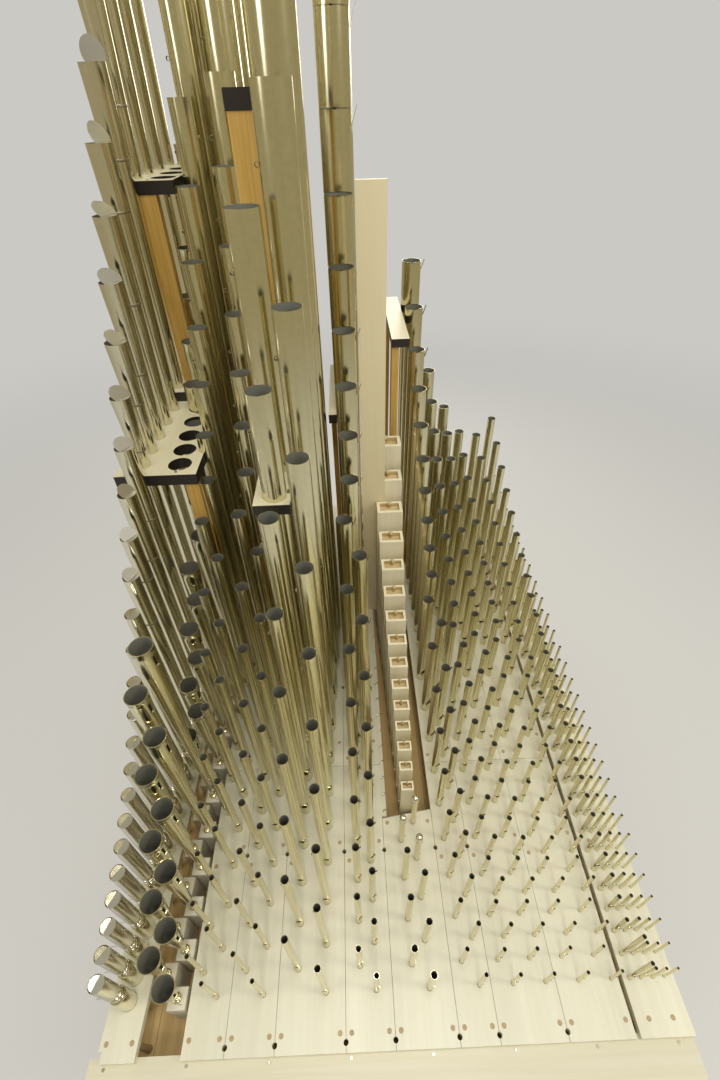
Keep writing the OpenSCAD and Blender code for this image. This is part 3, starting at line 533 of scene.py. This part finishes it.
# The rack boards lie this high over the toeboards, where the pipes' toes stand
RACK_RISE = 0.15
RIGHTWARDS = 0.0
LEFTWARDS = math.pi
FORWARD = -math.pi / 2
HALF_RIGHT = -math.pi * 0.3
X_AXIS = Vector((1, 0, 0))
Y_AXIS = Vector((0, 1, 0))
Z_AXIS = Vector((0, 0, 1))
THINNEST = 0.0006
HALF_MOUTH = math.pi * 0.26


def turned_from(angle, facing):
    """How far an angle lies from another one, between minus and plus half a turn."""
    return (angle - facing + math.pi) % (2 * math.pi) - math.pi


def ring_points(x, y, z, count, radius, facing=0, flat=0):
    """One ring of a pipe's wall. flat presses the lips from 0, round, to 1, flat across the mouth."""
    points = []
    for j in range(count):
        angle = 2 * math.pi * (j + 0.5) / count
        off = turned_from(angle, facing)
        out = radius
        if abs(off) < HALF_MOUTH:
            chord = radius * math.cos(HALF_MOUTH) / math.cos(off)
            out = radius + (chord - radius) * flat
        points.append((x + out * math.cos(angle), y + out * math.sin(angle), z))
    return points


def facets(width):
    """Sides of a round pipe, more on the wide ones."""
    if width < 0.012:
        return 14
    if width < 0.022:
        return 18
    return 24 if width < 0.05 else 36


def flue_pipe(sheet, solid, facing, tuning):
    """A pipe where the frame's plain one stands, with its mouth facing out and its tuning piece."""
    x, y, base = solid["x"], solid["y"], solid["low"]
    radius = solid["radius"]
    width = 2 * radius
    top = solid["high"] - base
    wall = max(THINNEST, width * 0.011)
    toe = min(width * 0.4, 0.004 + width * 0.05)
    mouth = RACK_RISE + 0.045 + width * 0.1
    lip = mouth + width * 0.24
    count = facets(width)
    slot_low = top - width * (1.6 if tuning == "scroll" else 0.55)
    slot_high = slot_low + width * 0.55

    def foot(z):
        return toe + (radius - toe) * z / mouth

    levels = [(0, toe, 0), (mouth * 0.6, foot(mouth * 0.6), 0),
              (mouth - width * 0.35, foot(mouth - width * 0.35), 0), (mouth - width * 0.02, radius, 1),
              (lip, radius, 1), (lip + width * 0.85, radius, 0)]
    mouth_level = 3
    slot_level = len(levels)
    if tuning != "plain":
        levels += [(slot_low, radius, 0), (slot_high, radius, 0)]
    levels += [(top - wall * 3, radius, 0), (top, radius, 0)]
    outer = [ring_points(x, y, base + z, count, r, facing, flat) for z, r, flat in levels]
    inner = [ring_points(x, y, base + z, count, r - wall, facing, flat) for z, r, flat in levels]

    def kept(i, j):
        angle = 2 * math.pi * (j + 1) / count
        if i == mouth_level and abs(turned_from(angle, facing)) < HALF_MOUTH - math.pi / count:
            return False
        if tuning == "scroll" and i == slot_level:
            return abs(turned_from(angle, LEFTWARDS)) > 1.6 * math.pi / count
        return True

    sheet.wall(outer, inner, kept)
    languid = base + mouth - width * 0.05
    plate = (radius - wall) * 0.96
    sheet.turned(x, y, [(plate, languid), (plate, languid + wall)], count)
    ahead = Vector((math.cos(facing), math.sin(facing), 0))
    aside = Z_AXIS.cross(ahead)
    if width > 0.0085:
        reach = width * 0.16
        lip_front = radius * math.cos(HALF_MOUTH) + reach * 0.5
        lip_side = radius * math.sin(HALF_MOUTH) * 1.02
        for side in (-1, 1):
            ear = Vector((x, y, base + (mouth + lip) / 2)) + ahead * lip_front + aside * side * lip_side
            sheet.block(ear, (ahead, aside, Z_AXIS), (reach, max(0.0004, wall * 0.5), width * 0.24))
    if tuning == "scroll":
        out = -X_AXIS
        roll = Vector((x, y, base + slot_low)) + out * (radius + width * 0.045)
        curl(sheet, roll, out, max(0.0022, width * 0.07), width * 0.16, wall)
    if tuning == "flap":
        lean = (Z_AXIS + X_AXIS * 0.35).normalized()
        spot = Vector((x + radius + width * 0.10, y, base + top - width * 0.18))
        flap_size = (max(0.0004, wall * 0.5), width * 0.10, width * 0.26)
        sheet.block(spot, (lean.cross(Y_AXIS), Y_AXIS, lean), flap_size)


def whole(i, j):
    return True


def curl(sheet, centre, out, radius, length, wall):
    """The tongue of a tuning slot, rolled down to a small scroll."""
    across = out.cross(Z_AXIS)
    count = 12
    ways = [out * math.cos(2 * math.pi * j / count) + Z_AXIS * math.sin(2 * math.pi * j / count)
            for j in range(count)]
    ends = [centre - across * 0.5 * length, centre + across * 0.5 * length]
    outer = [[tuple(end + way * radius) for way in ways] for end in ends]
    inner = [[tuple(end + way * (radius - wall)) for way in ways] for end in ends]
    sheet.wall(outer, inner, whole)


# A pipe narrower than this has no tuning slot or flap
TUNED_RADIUS = 0.009
flue_ranks = [
    ("diapason_pipes", "scroll", HALF_RIGHT),
    ("salicional_pipes", "scroll", FORWARD),
    ("violone_pipes", "scroll", FORWARD),
    ("violone_bass_pipes", "scroll", FORWARD),
    ("gemshorn_pipes", "flap", HALF_RIGHT),
    ("gemshorn_bass_pipes", "flap", HALF_RIGHT),
    ("stopped_flute_pipes", "plain", RIGHTWARDS),
    ("octave_pipes", "flap", HALF_RIGHT),
    ("quint_and_superoctave_pipes", "plain", FORWARD),
    ("tierce_and_larigot_pipes", "plain", FORWARD),
    ("mixture_pipes", "plain", FORWARD),
]
for name, tuning, facing in flue_ranks:
    sheet = Sheet()
    for solid in loose_solids(name):
        flue_pipe(sheet, solid, facing, tuning if solid["radius"] >= TUNED_RADIUS else "plain")
    sheet.piece("detailed_" + name, [TIN, TIN_INSIDE], (name,))

# The caps of the stopped flute.
# Three bright caps pushed over the pipes' ends, each drawn from tin with a low dome and a rolled lip.
caps = Sheet()
for solid in loose_solids("stopped_flute_caps"):
    r = solid["radius"]
    low = solid["low"]
    high = solid["high"]
    profile = [(r * 0.93, low), (r * 1.05, low + 0.0004), (r * 1.05, low + 0.0020), (r, low + 0.0026),
               (r, high - 0.0075), (r * 0.97, high - 0.0058), (r * 0.86, high - 0.0040),
               (r * 0.62, high - 0.0018), (r * 0.32, high - 0.0004), (r * 0.08, high)]
    caps.turned(solid["x"], solid["y"], profile, 32)
caps.piece("detailed_stopped_flute_caps", [BRIGHT_TIN], ("stopped_flute_caps",))

# The short reeds.
# Each stands in its own large hole: a boot with a round shoulder, a lead block like a ring with its
# tuning wire, a tube that opens from a cone, and a lid cut across and half bent up to tune it.
REED_FACETS = 40
REED_WALL = 0.0009
SHOULDER = 0.012
INSIDE_SLOT = 1
# The slot of the bright tin: the blocks' own bright lead, and the painted highlight along the lids' folds
RING_AND_FOLD_HIGHLIGHT_SLOT = 2
SOLDER_SLOT = 3
# Above this row the tubes flare, the basses only over the upper racks that hold them
LAST_STRAIGHT = 13
FLARE_EACH_ROW = 0.0013
FLARING_ROWS = 11
FIRST_IN_LEFT_RACK = 19
FIRST_IN_REAR_RACK = 25
LEFT_RACK_CLEAR = rack_top + 1.045
REAR_RACK_CLEAR = rack_top + 1.640
LAST_TREBLE_LID = 14
reeds = Sheet()
lids = Sheet()
wires = Sheet()


def round_wall(sheet, x, y, outer, inner, count, kept=whole, outside=0):
    """A round wall between two matching profiles, each a list of (radius, height)."""
    outer_rings = [ring_points(x, y, z, count, radius) for radius, z in outer]
    inner_rings = [ring_points(x, y, z, count, radius) for radius, z in inner]
    sheet.wall(outer_rings, inner_rings, kept, outside)


def bent_wire(sheet, points, radius, count=6, slot=0):
    """A wire of a few straight stretches through its points."""
    rings = []
    for i, point in enumerate(points):
        before = points[max(0, i - 1)]
        after = points[min(len(points) - 1, i + 1)]
        along = (after - before).normalized()
        side = along.orthogonal().normalized()
        other = along.cross(side)
        rings.append([point + (side * math.cos(a) + other * math.sin(a)) * radius
                      for a in (2 * math.pi * j / count for j in range(count))])
    sheet.closed(rings, slot)


def wire_from(sheet, start, bends, radius):
    bent_wire(sheet, [start + Vector(bend) for bend in bends], radius)


def reed_boot(x, y, radius, low, high):
    """A foot that widens to the boot, which closes to its neck with a round shoulder."""
    corner = high - SHOULDER
    neck = radius - SHOULDER
    profile = [(0.007, low), (radius, low + 0.07), (radius, corner)]
    steps = 6
    for k in range(steps - 1, -1, -1):
        angle = math.pi / 2 * k / steps
        profile.append((neck + SHOULDER * math.sin(angle), corner + SHOULDER * math.cos(angle)))
    profile.append((neck - 0.001, high))
    reeds.turned(x, y, profile, REED_FACETS)


def reed_block(x, y, neck, low, high):
    """A lead ring that bulges from the neck, with a low rim on top."""
    rim = high - 0.003
    bulge = 0.005
    steps = 8
    profile = [(neck - 0.003, low)]
    for i in range(steps + 1):
        angle = math.pi * i / steps - math.pi / 2
        profile.append((neck + bulge * math.cos(angle), (low + rim) / 2 + (rim - low) / 2 * math.sin(angle)))
    profile += [(neck - 0.001, rim), (neck - 0.0005, high), (neck - 0.004, high)]
    reeds.turned(x, y, profile, REED_FACETS, RING_AND_FOLD_HIGHLIGHT_SLOT)


def flare_start(row, low):
    if row < FIRST_IN_LEFT_RACK:
        return low
    return LEFT_RACK_CLEAR if row < FIRST_IN_REAR_RACK else REAR_RACK_CLEAR


def reed_tube(row, x, y, radius, low, high):
    """A short cone, a tube that may flare, and a fine rim. Returns the outline."""
    outline = [(0.0085, low), (0.0105, low + 0.001), (radius - 0.0006, low + 0.0235), (radius, low + 0.0252)]
    if row > LAST_STRAIGHT:
        outline.append((radius, flare_start(row, low + 0.03)))
        radius += FLARE_EACH_ROW * min(row - LAST_STRAIGHT, FLARING_ROWS)
    outline += [(radius, high - 0.0015), (radius + 0.0003, high)]
    inside = [(r - REED_WALL, z) for r, z in outline]
    round_wall(reeds, x, y, outline, inside, REED_FACETS)
    return outline


def seam(x, y, radius, low, high):
    """The soldered seam along a straight tube, at its rear."""
    seam_at = 0.9
    out = Vector((math.cos(seam_at), math.sin(seam_at), 0))
    spot = Vector((x, y, (low + 0.026 + high) / 2)) + out * radius
    reeds.block(spot, (out, Z_AXIS.cross(out), Z_AXIS), (0.0003, 0.0010, (high - low - 0.030) / 2))


def solder_band(row, x, y, outline):
    """A thin band of solder around a large tube, where two lengths of sheet meet."""
    (start_radius, start), (radius, _), (_, high) = outline[-3:]
    band = high - 0.20 + 0.05 * math.sin(1.7 * row)
    share = max(0.0, (band - start) / (high - start))
    there = start_radius + (radius - start_radius) * share
    rim = [(0.0002, 0), (0.0009, 0.001), (0.0009, 0.005), (0.0002, 0.006)]
    outer = [(there + more, band + z) for more, z in rim]
    inner = [(there - 0.0008, band + z) for more, z in rim]
    round_wall(reeds, x, y, outer, inner, REED_FACETS, outside=SOLDER_SLOT)


def lid_part(centre, radius, across, toward, lean, chord, slot):
    """The part of a round lid beyond a chord, bent up by lean about that chord."""
    thick = 0.0008
    count = 24
    first = math.asin(chord / radius)
    rising = (toward * math.cos(lean) + Z_AXIS * math.sin(lean)).normalized()
    normal = (Z_AXIS * math.cos(lean) - toward * math.sin(lean)).normalized()
    rings = []
    for lift in (0, thick):
        ring = []
        for i in range(count + 1):
            angle = first + (math.pi - 2 * first) * i / count
            spot = centre + toward * chord + across * radius * math.cos(angle)
            ring.append(spot + rising * (radius * math.sin(angle) - chord) + normal * lift)
        rings.append(ring)
    lids.closed(rings, slot)


def reed_lid(row, x, y, radius, high):
    """A lid cut across. One part stays on the tube, and the other is bent up about the crease."""
    centre = Vector((x, y, high))
    lid_turn = math.radians(-27 + 11 * math.sin(2.3 * row))
    away = Vector((math.cos(lid_turn), math.sin(lid_turn), 0))
    crease = Z_AXIS.cross(away)
    if row <= LAST_TREBLE_LID:
        shift = 0
        lid_part(centre, radius + 0.0006, -crease, away, 0, shift, 0)
        lid_part(centre, radius * 0.86, crease, -away, math.radians(12), shift, INSIDE_SLOT)
    else:
        shift = radius * 0.5
        lean = math.radians(42 + 22 * max(0, row - 22))
        lid_part(centre, radius + 0.0006, -crease, away, 0, shift, 0)
        lid_part(centre, radius * 0.99, crease, -away, lean, -shift, 0)
    # A round bar along the crease in the brighter tin: its roundness is the fold's shape, and its brightness
    # is a painted highlight along the fold.
    fold = centre + away * shift + Z_AXIS * 0.0006
    half_fold = crease * math.sqrt(radius * radius - shift * shift) * 0.96
    bent_wire(lids, [fold - half_fold, fold + half_fold], 0.0013, 10, RING_AND_FOLD_HIGHLIGHT_SLOT)


reed_parts = zip(loose_solids("reed_boots"), loose_solids("reed_blocks"), loose_solids("reed_resonators"))
for row, (boot, block, tube) in enumerate(reed_parts, start=1):
    x, y = boot["x"], boot["y"]
    low, high = tube["low"], tube["high"]
    reed_boot(x, y, boot["radius"], boot["low"], boot["high"])
    reed_block(x, y, boot["radius"] - SHOULDER + 0.002, block["low"], block["high"])
    outline = reed_tube(row, x, y, tube["radius"], low, high)
    if row <= LAST_STRAIGHT:
        seam(x, y, tube["radius"], low, high)
    else:
        solder_band(row, x, y, outline)
    reed_lid(row, x, y, outline[-2][0], high)
    reach = 0.022 if row % 3 else 0.050
    wire_from(wires, Vector((x - 0.008, y - 0.009, block["high"] - 0.004)),
              [(0, 0, 0), (-0.001, -0.001, 0.022), (-0.012, -0.003, 0.030), (-reach, -0.004, 0.031)], 0.0007)
reeds.piece("detailed_short_reeds", [REED_TIN, TIN_INSIDE, BRIGHT_TIN, SOLDER],
            ("reed_boots", "reed_blocks", "reed_resonators"))
lids.piece("detailed_reed_lids", [LID_TIN, REED_TIN, BRIGHT_TIN], ("reed_lids",), sharp=30)
wires.piece("reed_tuning_wires", [metal("spring_wire", (0.55, 0.50, 0.40), 0.3)], ())

# The trumpets.
# Long cones of tin with a rolled rim and a tuning slot, each in the socket of a square beech boot that
# stands in the recess between two boards. A steel wire beside the socket tunes the reed.
# The boots' beech is lightened almost to white: partly the pale wood's own colour, partly painted light
# against the shade among the trumpets
BOOT_BEECH = wood("boot_beech", (0.95, 0.90, 0.76), (0.88, 0.80, 0.60), UPRIGHT, ring_scale=1.6, rough=0.5,
                  tone_scale=(9, 9, 3), tone_depth=0.22)


def square_ring(x, y, z, half_x, half_y):
    return [(x - half_x, y - half_y, z), (x + half_x, y - half_y, z),
            (x + half_x, y + half_y, z), (x - half_x, y + half_y, z)]


def squared(sheet, x, y, profile):
    """A closed square post: profile is a list of (half across, half along, height) from its foot up."""
    sheet.closed([square_ring(x, y, height, half_x, half_y) for half_x, half_y, height in profile])


TRUMPET_FACETS = 44
TRUMPET_TIP = 0.0045
TRUMPET_WALL = 0.0009
SLOT_RING = 2
SLOT_FACETS = (40, 41)
SLOT_ANGLE = 2 * math.pi * (SLOT_FACETS[0] + 1.5) / TRUMPET_FACETS
trumpets = Sheet()
trumpet_feet = Sheet()
trumpet_wires = Sheet()


def beside_slot(i, j):
    return i != SLOT_RING or j not in SLOT_FACETS


def trumpet(x, y, radius, low, high):
    """A cone with a rolled rim, and near its end a slot whose tongue is rolled down."""
    slot_low = high - radius * 2.1
    slot_high = high - radius * 0.9

    def cone(z):
        return TRUMPET_TIP + (radius - TRUMPET_TIP) * (z - low) / (high - low)

    heights = [low, low + (high - low) * 0.5, slot_low, slot_high, high - 0.004]
    outer = [(cone(z), z) for z in heights] + [(radius + 0.0009, high - 0.0028), (radius + 0.0009, high)]
    inner = [(cone(z) - TRUMPET_WALL, z) for _, z in outer]
    round_wall(trumpets, x, y, outer, inner, TRUMPET_FACETS, beside_slot)
    out = Vector((math.cos(SLOT_ANGLE), math.sin(SLOT_ANGLE), 0))
    roll = Vector((x, y, slot_low)) + out * (cone(slot_low) + radius * 0.09)
    curl(trumpets, roll, out, radius * 0.12, radius * 0.28, TRUMPET_WALL)


def trumpet_boot(x, y, half, low, high):
    """A square block with broken edges, and the turned collar of its socket."""
    squared(trumpet_feet, x, y, [(half - 0.0015, half - 0.0015, low), (half, half, low + 0.0015),
                                 (half, half, high - 0.002), (half - 0.002, half - 0.002, high)])
    collar = [(0.0125, 0), (0.0125, 0.0035), (0.0105, 0.0055), (0.0075, 0.0065)]
    trumpets.turned(x, y, [(radius, high + rise) for radius, rise in collar], 24)


for tube, boot in zip(loose_solids("trumpet_resonators"), loose_solids("trumpet_boots")):
    x, y = tube["x"], tube["y"]
    trumpet(x, y, tube["radius"], tube["low"], tube["high"])
    trumpet_boot(x, y, boot["radius"], boot["low"], boot["high"])
    wire_from(trumpet_wires, Vector((x + 0.012, y - 0.014, boot["high"])),
              [(0, 0, 0), (0, 0, 0.030), (0.003, -0.002, 0.036), (0.014, -0.004, 0.037)], 0.0008)
trumpets.piece("detailed_trumpets", [TIN, TIN_INSIDE], ("trumpet_resonators",))
trumpet_feet.piece("trumpet_boot_blocks", [BOOT_BEECH], ("trumpet_boots",), sharp=30)
steel_wire = metal("steel_wire", (0.62, 0.60, 0.56), 0.28)
trumpet_wires.piece("trumpet_tuning_wires", [steel_wire], ())

# The stopped wooden pipes.
# Square tubes of pale pine boards with thick walls. A cap board with a sloped lip forms the mouth at
# the front, and a stopper with a turned knob closes the top a little below the rim.
PIPE_PINE = wood("pipe_pine", (0.90, 0.83, 0.61), (0.84, 0.75, 0.52), UPRIGHT, ring_scale=1.2, rough=0.42,
                 tone_scale=(8, 8, 0.6), tone_depth=0.08, coat=0.1)
STOPPER_PINE = wood("stopper_pine", (0.74, 0.60, 0.32), (0.58, 0.43, 0.19), ALONG_X, ring_scale=2.4,
                    rough=0.55)
pine_tubes = Sheet()
pine_stops = Sheet()


def beside_mouth(i, j):
    return (i, j) != (1, 0)


def wooden_tube(x, y, half_x, half_y, wall, low, high):
    """A square tube on a turned foot, with its mouth, cap board and upper lip at the front."""
    foot_top = low + 0.060
    mouth = foot_top + 0.030
    lip = mouth + half_x * 0.5
    levels = [(foot_top, 0), (mouth, 0), (lip, 0), (high - 0.0012, 0), (high, 0.0010)]
    outer = [square_ring(x, y, z, half_x - less, half_y - less) for z, less in levels]
    inner = [square_ring(x, y, z, half_x - wall, half_y - wall) for z, _ in levels]
    pine_tubes.wall(outer, inner, beside_mouth)
    block = min(half_x, half_y) - wall * 0.9
    pine_tubes.turned(x, y, [(block, mouth - 0.004), (block, mouth - 0.001)], 4)
    foot = [(0.28, low), (0.36, low + 0.012), (0.50, foot_top - 0.010), (0.66, foot_top - 0.003),
            (0.66, foot_top)]
    pine_tubes.turned(x, y, [(half_y * share, z) for share, z in foot], 20)
    front = y - half_y
    cap = Vector((x, front - 0.0025, (foot_top + mouth) / 2))
    cap_size = (half_x * 0.97, 0.0025, (mouth - foot_top) / 2 - 0.001)
    pine_tubes.block(cap, (X_AXIS, Y_AXIS, Z_AXIS), cap_size)
    slope = Vector((0, -0.24, 1)).normalized()
    upper_lip = Vector((x, front + 0.0006, lip + half_x * 0.30))
    lip_size = (half_x - wall * 1.1, 0.0012, half_x * 0.30)
    pine_tubes.block(upper_lip, (X_AXIS, slope.cross(X_AXIS), slope), lip_size)


def stopper(x, y, half_x, half_y, high):
    """A square block with its upper edges broken."""
    squared(pine_stops, x, y, [(half_x, half_y, high - 0.045), (half_x, half_y, high - 0.0155),
                               (half_x - 0.0012, half_y - 0.0012, high - 0.014)])


def knob(x, y, radius, high):
    profile = [(0.62, -0.0140), (0.55, -0.004), (0.9, 0.001), (1, 0.005), (0.86, 0.010), (0.45, 0.013)]
    pine_stops.turned(x, y, [(radius * share, high + rise) for share, rise in profile], 20)


for tube in loose_solids("wooden_pipe_bodies"):
    x, y, high = tube["x"], tube["y"], tube["high"]
    half_x, half_y = tube["size"][0] / 2, tube["size"][1] / 2
    wall = max(0.0055, half_x * 0.24)
    wooden_tube(x, y, half_x, half_y, wall, tube["low"], high)
    stopper(x, y, half_x - wall, half_y - wall, high)
    knob(x, y + half_y * 0.40, half_y * 0.27, high)
pine_tubes.piece("detailed_wooden_pipes", [PIPE_PINE, STOPPER_PINE], ("wooden_pipe_bodies",),
                 sharp=25)
pine_stops.piece("detailed_stoppers", [STOPPER_PINE], ("wooden_pipe_stoppers",), sharp=40)

# The screws, bolts and eyes.
# Slotted screws hold the cover board, the fascia and the upper racks, hexagon bolts with washers hold
# the timbers, and a small eye stands beside each wooden pipe. All are placed by Geometry Nodes.


def box_of(name):
    spots = np.array([vert.co[:] for vert in nodes[name].data.vertices])
    return spots.min(0), spots.max(0)


def fixing_tree(name, **sizes):
    """A node tree that takes points, sizes, a tilt and a material, and the sockets that hold them."""
    inputs = {"Geometry": ("Geometry", None), "Tilt": ("Vector", (0.0, 0.0, 0.0)),
              "Material": ("Material", None)}
    for title, value in sizes.items():
        inputs[title.replace("_", " ")] = ("Int" if isinstance(value, int) else "Float", value)
    return group_tree(name, "GeometryNodeTree", inputs, {"Geometry": "Geometry"})


def set_on_points(tree, given, shape, spin=None):
    """Ends a tree: the shape on every point, tilted, spun about its own axis, made real and painted."""
    inputs = {"Points": given["Geometry"], "Instance": shape, "Rotation": given["Tilt"]}
    copies = add_node(tree, "GeometryNodeInstanceOnPoints", inputs).outputs[0]
    if spin is not None:
        inputs = {"Instances": copies, "Rotation": spin, "Local Space": True}
        copies = add_node(tree, "GeometryNodeRotateInstances", inputs).outputs[0]
    solid = add_node(tree, "GeometryNodeRealizeInstances", {"Geometry": copies}).outputs[0]
    paint = add_node(tree, "GeometryNodeSetMaterial", {"Geometry": solid, "Material": given["Material"]})
    add_node(tree, "NodeGroupOutput", {"Geometry": paint.outputs[0]})
    return tree


def slotted_screw_tree():
    """A countersunk head with one slot, set on every point of the mesh."""
    tree, given = fixing_tree("slotted_screws", Head_Radius=0.004, Head_Height=0.0012, Seed=3)
    radius = given["Head Radius"]
    height = given["Head Height"]
    rim = number(tree, "MULTIPLY", radius, 0.82)
    head = add_node(tree, "GeometryNodeMeshCone", {
        "Vertices": 20, "Radius Top": rim, "Radius Bottom": radius, "Depth": height}).outputs["Mesh"]
    size = add_node(tree, "ShaderNodeCombineXYZ", {
        "X": number(tree, "MULTIPLY", radius, 3.0), "Y": number(tree, "MULTIPLY", radius, 0.28), "Z": height})
    groove = add_node(tree, "GeometryNodeMeshCube", {"Size": size.outputs[0]}).outputs["Mesh"]
    rise = add_node(tree, "ShaderNodeCombineXYZ", {"Z": height}).outputs[0]
    lifted = add_node(tree, "GeometryNodeTransform", {"Geometry": groove, "Translation": rise}).outputs[0]
    meshes = {"Mesh 1": head, "Mesh 2": lifted}
    cut = add_node(tree, "GeometryNodeMeshBoolean", meshes, operation="DIFFERENCE")
    chance = add_node(tree, "FunctionNodeRandomValue", {"Seed": given["Seed"]}, data_type="FLOAT")
    chance.inputs["Max"].default_value = math.pi
    drawn = next(o for o in chance.outputs if o.type == "VALUE" and o.enabled)
    spin = add_node(tree, "ShaderNodeCombineXYZ", {"Z": drawn})
    return set_on_points(tree, given, cut.outputs["Mesh"], spin.outputs[0])


def hex_bolt_tree():
    """A hexagon head on a round washer, set on every point of the mesh."""
    tree, given = fixing_tree("hexagon_bolts", Head_Radius=0.009, Washer_Radius=0.016)
    head = add_node(tree, "GeometryNodeMeshCylinder", {
        "Vertices": 6, "Depth": 0.007, "Radius": given["Head Radius"]}).outputs["Mesh"]
    seat = {"Geometry": head, "Translation": (0, 0, 0.005)}
    seated = add_node(tree, "GeometryNodeTransform", seat)
    washer = add_node(tree, "GeometryNodeMeshCylinder", {
        "Vertices": 28, "Depth": 0.0024, "Radius": given["Washer Radius"]})
    both = add_node(tree, "GeometryNodeJoinGeometry")
    for part in (seated.outputs["Geometry"], washer.outputs["Mesh"]):
        tree.links.new(part, both.inputs["Geometry"])
    return set_on_points(tree, given, both.outputs["Geometry"])


def eye_tree():
    """A small ring of wire standing on every point of the mesh."""
    tree, given = fixing_tree("wire_eyes", Eye_Radius=0.0045, Wire_Radius=0.0009)

    def circle(steps, radius):
        inputs = {"Resolution": steps, "Radius": radius}
        return add_node(tree, "GeometryNodeCurvePrimitiveCircle", inputs).outputs["Curve"]

    curves = {"Curve": circle(20, given["Eye Radius"]), "Profile Curve": circle(8, given["Wire Radius"])}
    ring = add_node(tree, "GeometryNodeCurveToMesh", curves)
    return set_on_points(tree, given, ring.outputs["Mesh"])


def set_fixings(name, tree, points, **values):
    """Points become real fixings: the tree runs on them, and its result is kept as a plain mesh."""
    seeds = bpy.data.meshes.new(name + "_points")
    seeds.from_pydata([tuple(point) for point in points], [], [])
    holder = linked(name, seeds)
    maker = holder.modifiers.new("fixings", "NODES")
    maker.node_group = tree
    wanted = {key.replace("_", " "): value for key, value in values.items()}
    for item in tree.interface.items_tree:
        if item.in_out == "INPUT" and item.name in wanted:
            maker[item.identifier] = wanted[item.name]
    bpy.context.view_layer.update()
    made = bpy.data.meshes.new_from_object(holder.evaluated_get(bpy.context.evaluated_depsgraph_get()))
    holder.modifiers.remove(maker)
    holder.data = made
    made.shade_smooth()
    made.set_sharp_from_angle(angle=math.radians(35))
    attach(holder, "root")


SCREWS = slotted_screw_tree()
BOLTS = hex_bolt_tree()
EYES = eye_tree()
ZINC = metal("zinc_steel", (0.62, 0.60, 0.55), 0.32)
DARK_STEEL = metal("dark_steel", (0.30, 0.28, 0.25), 0.4)
HEAD_PROUD = 0.0002
cover_low, cover_high = box_of("front_cover_board")
cover_x = np.linspace(cover_low[0] + 0.04, cover_high[0] - 0.04, 8)
cover_y = (cover_low[1] + 0.012, cover_high[1] - 0.020)
cover_points = [(x, y, cover_high[2] + HEAD_PROUD) for x in cover_x for y in cover_y]
set_fixings("cover_board_screws", SCREWS, cover_points, Head_Radius=0.0042, Material=ZINC, Seed=5)

face_low, face_high = box_of("front_fascia")
face_x = (face_low[0] + 0.012, face_high[0] - 0.012)
face_z = [face_low[2] + (face_high[2] - face_low[2]) * share for share in (0.15, 0.5, 0.85)]
fascia_points = [(x, face_low[1] - HEAD_PROUD, z) for x in face_x for z in face_z]
set_fixings("fascia_screws", SCREWS, fascia_points, Head_Radius=0.0045, Material=ZINC, Seed=7,
            Tilt=(math.pi / 2, 0, 0))

# The left rack's far end carries a second board this thick. Its screw stands on the first.
SECOND_BOARD = 0.034
rack_points = []
for name, drop in (("left_upper_rack", SECOND_BOARD), ("rear_upper_rack", 0)):
    low, high = box_of(name)
    rack_points.append((high[0] - 0.075, low[1] + 0.016, high[2] - drop + HEAD_PROUD))
set_fixings("upper_rack_screws", SCREWS, rack_points, Head_Radius=0.0045, Material=DARK_STEEL, Seed=9)

WASHER_REST = 0.0012
leg_low, leg_high = box_of("legs")
rail_low, rail_high = box_of("leg_rails")
rail_z = (rail_low[2] + rail_high[2]) / 2
leg_ys = (leg_low[1] + 0.045, 0.0, leg_high[1] - 0.045)
for name, x, tilt in (("right_frame_bolts", leg_high[0] + WASHER_REST, math.pi / 2),
                      ("left_frame_bolts", leg_low[0] - WASHER_REST, -math.pi / 2)):
    set_fixings(name, BOLTS, [(x, y, rail_z) for y in leg_ys], Material=ZINC, Tilt=(0, tilt, 0))

eye_points = []
for tube in loose_solids("wooden_pipe_bodies"):
    eye_points.append((0.006, tube["y"] - tube["size"][1] / 2 - 0.004, rack_top + 0.0060))
set_fixings("wire_eyes", EYES, eye_points, Eye_Radius=0.006, Wire_Radius=0.0012, Material=BRIGHT_TIN,
            Tilt=(math.pi / 2, 0, math.radians(35)))
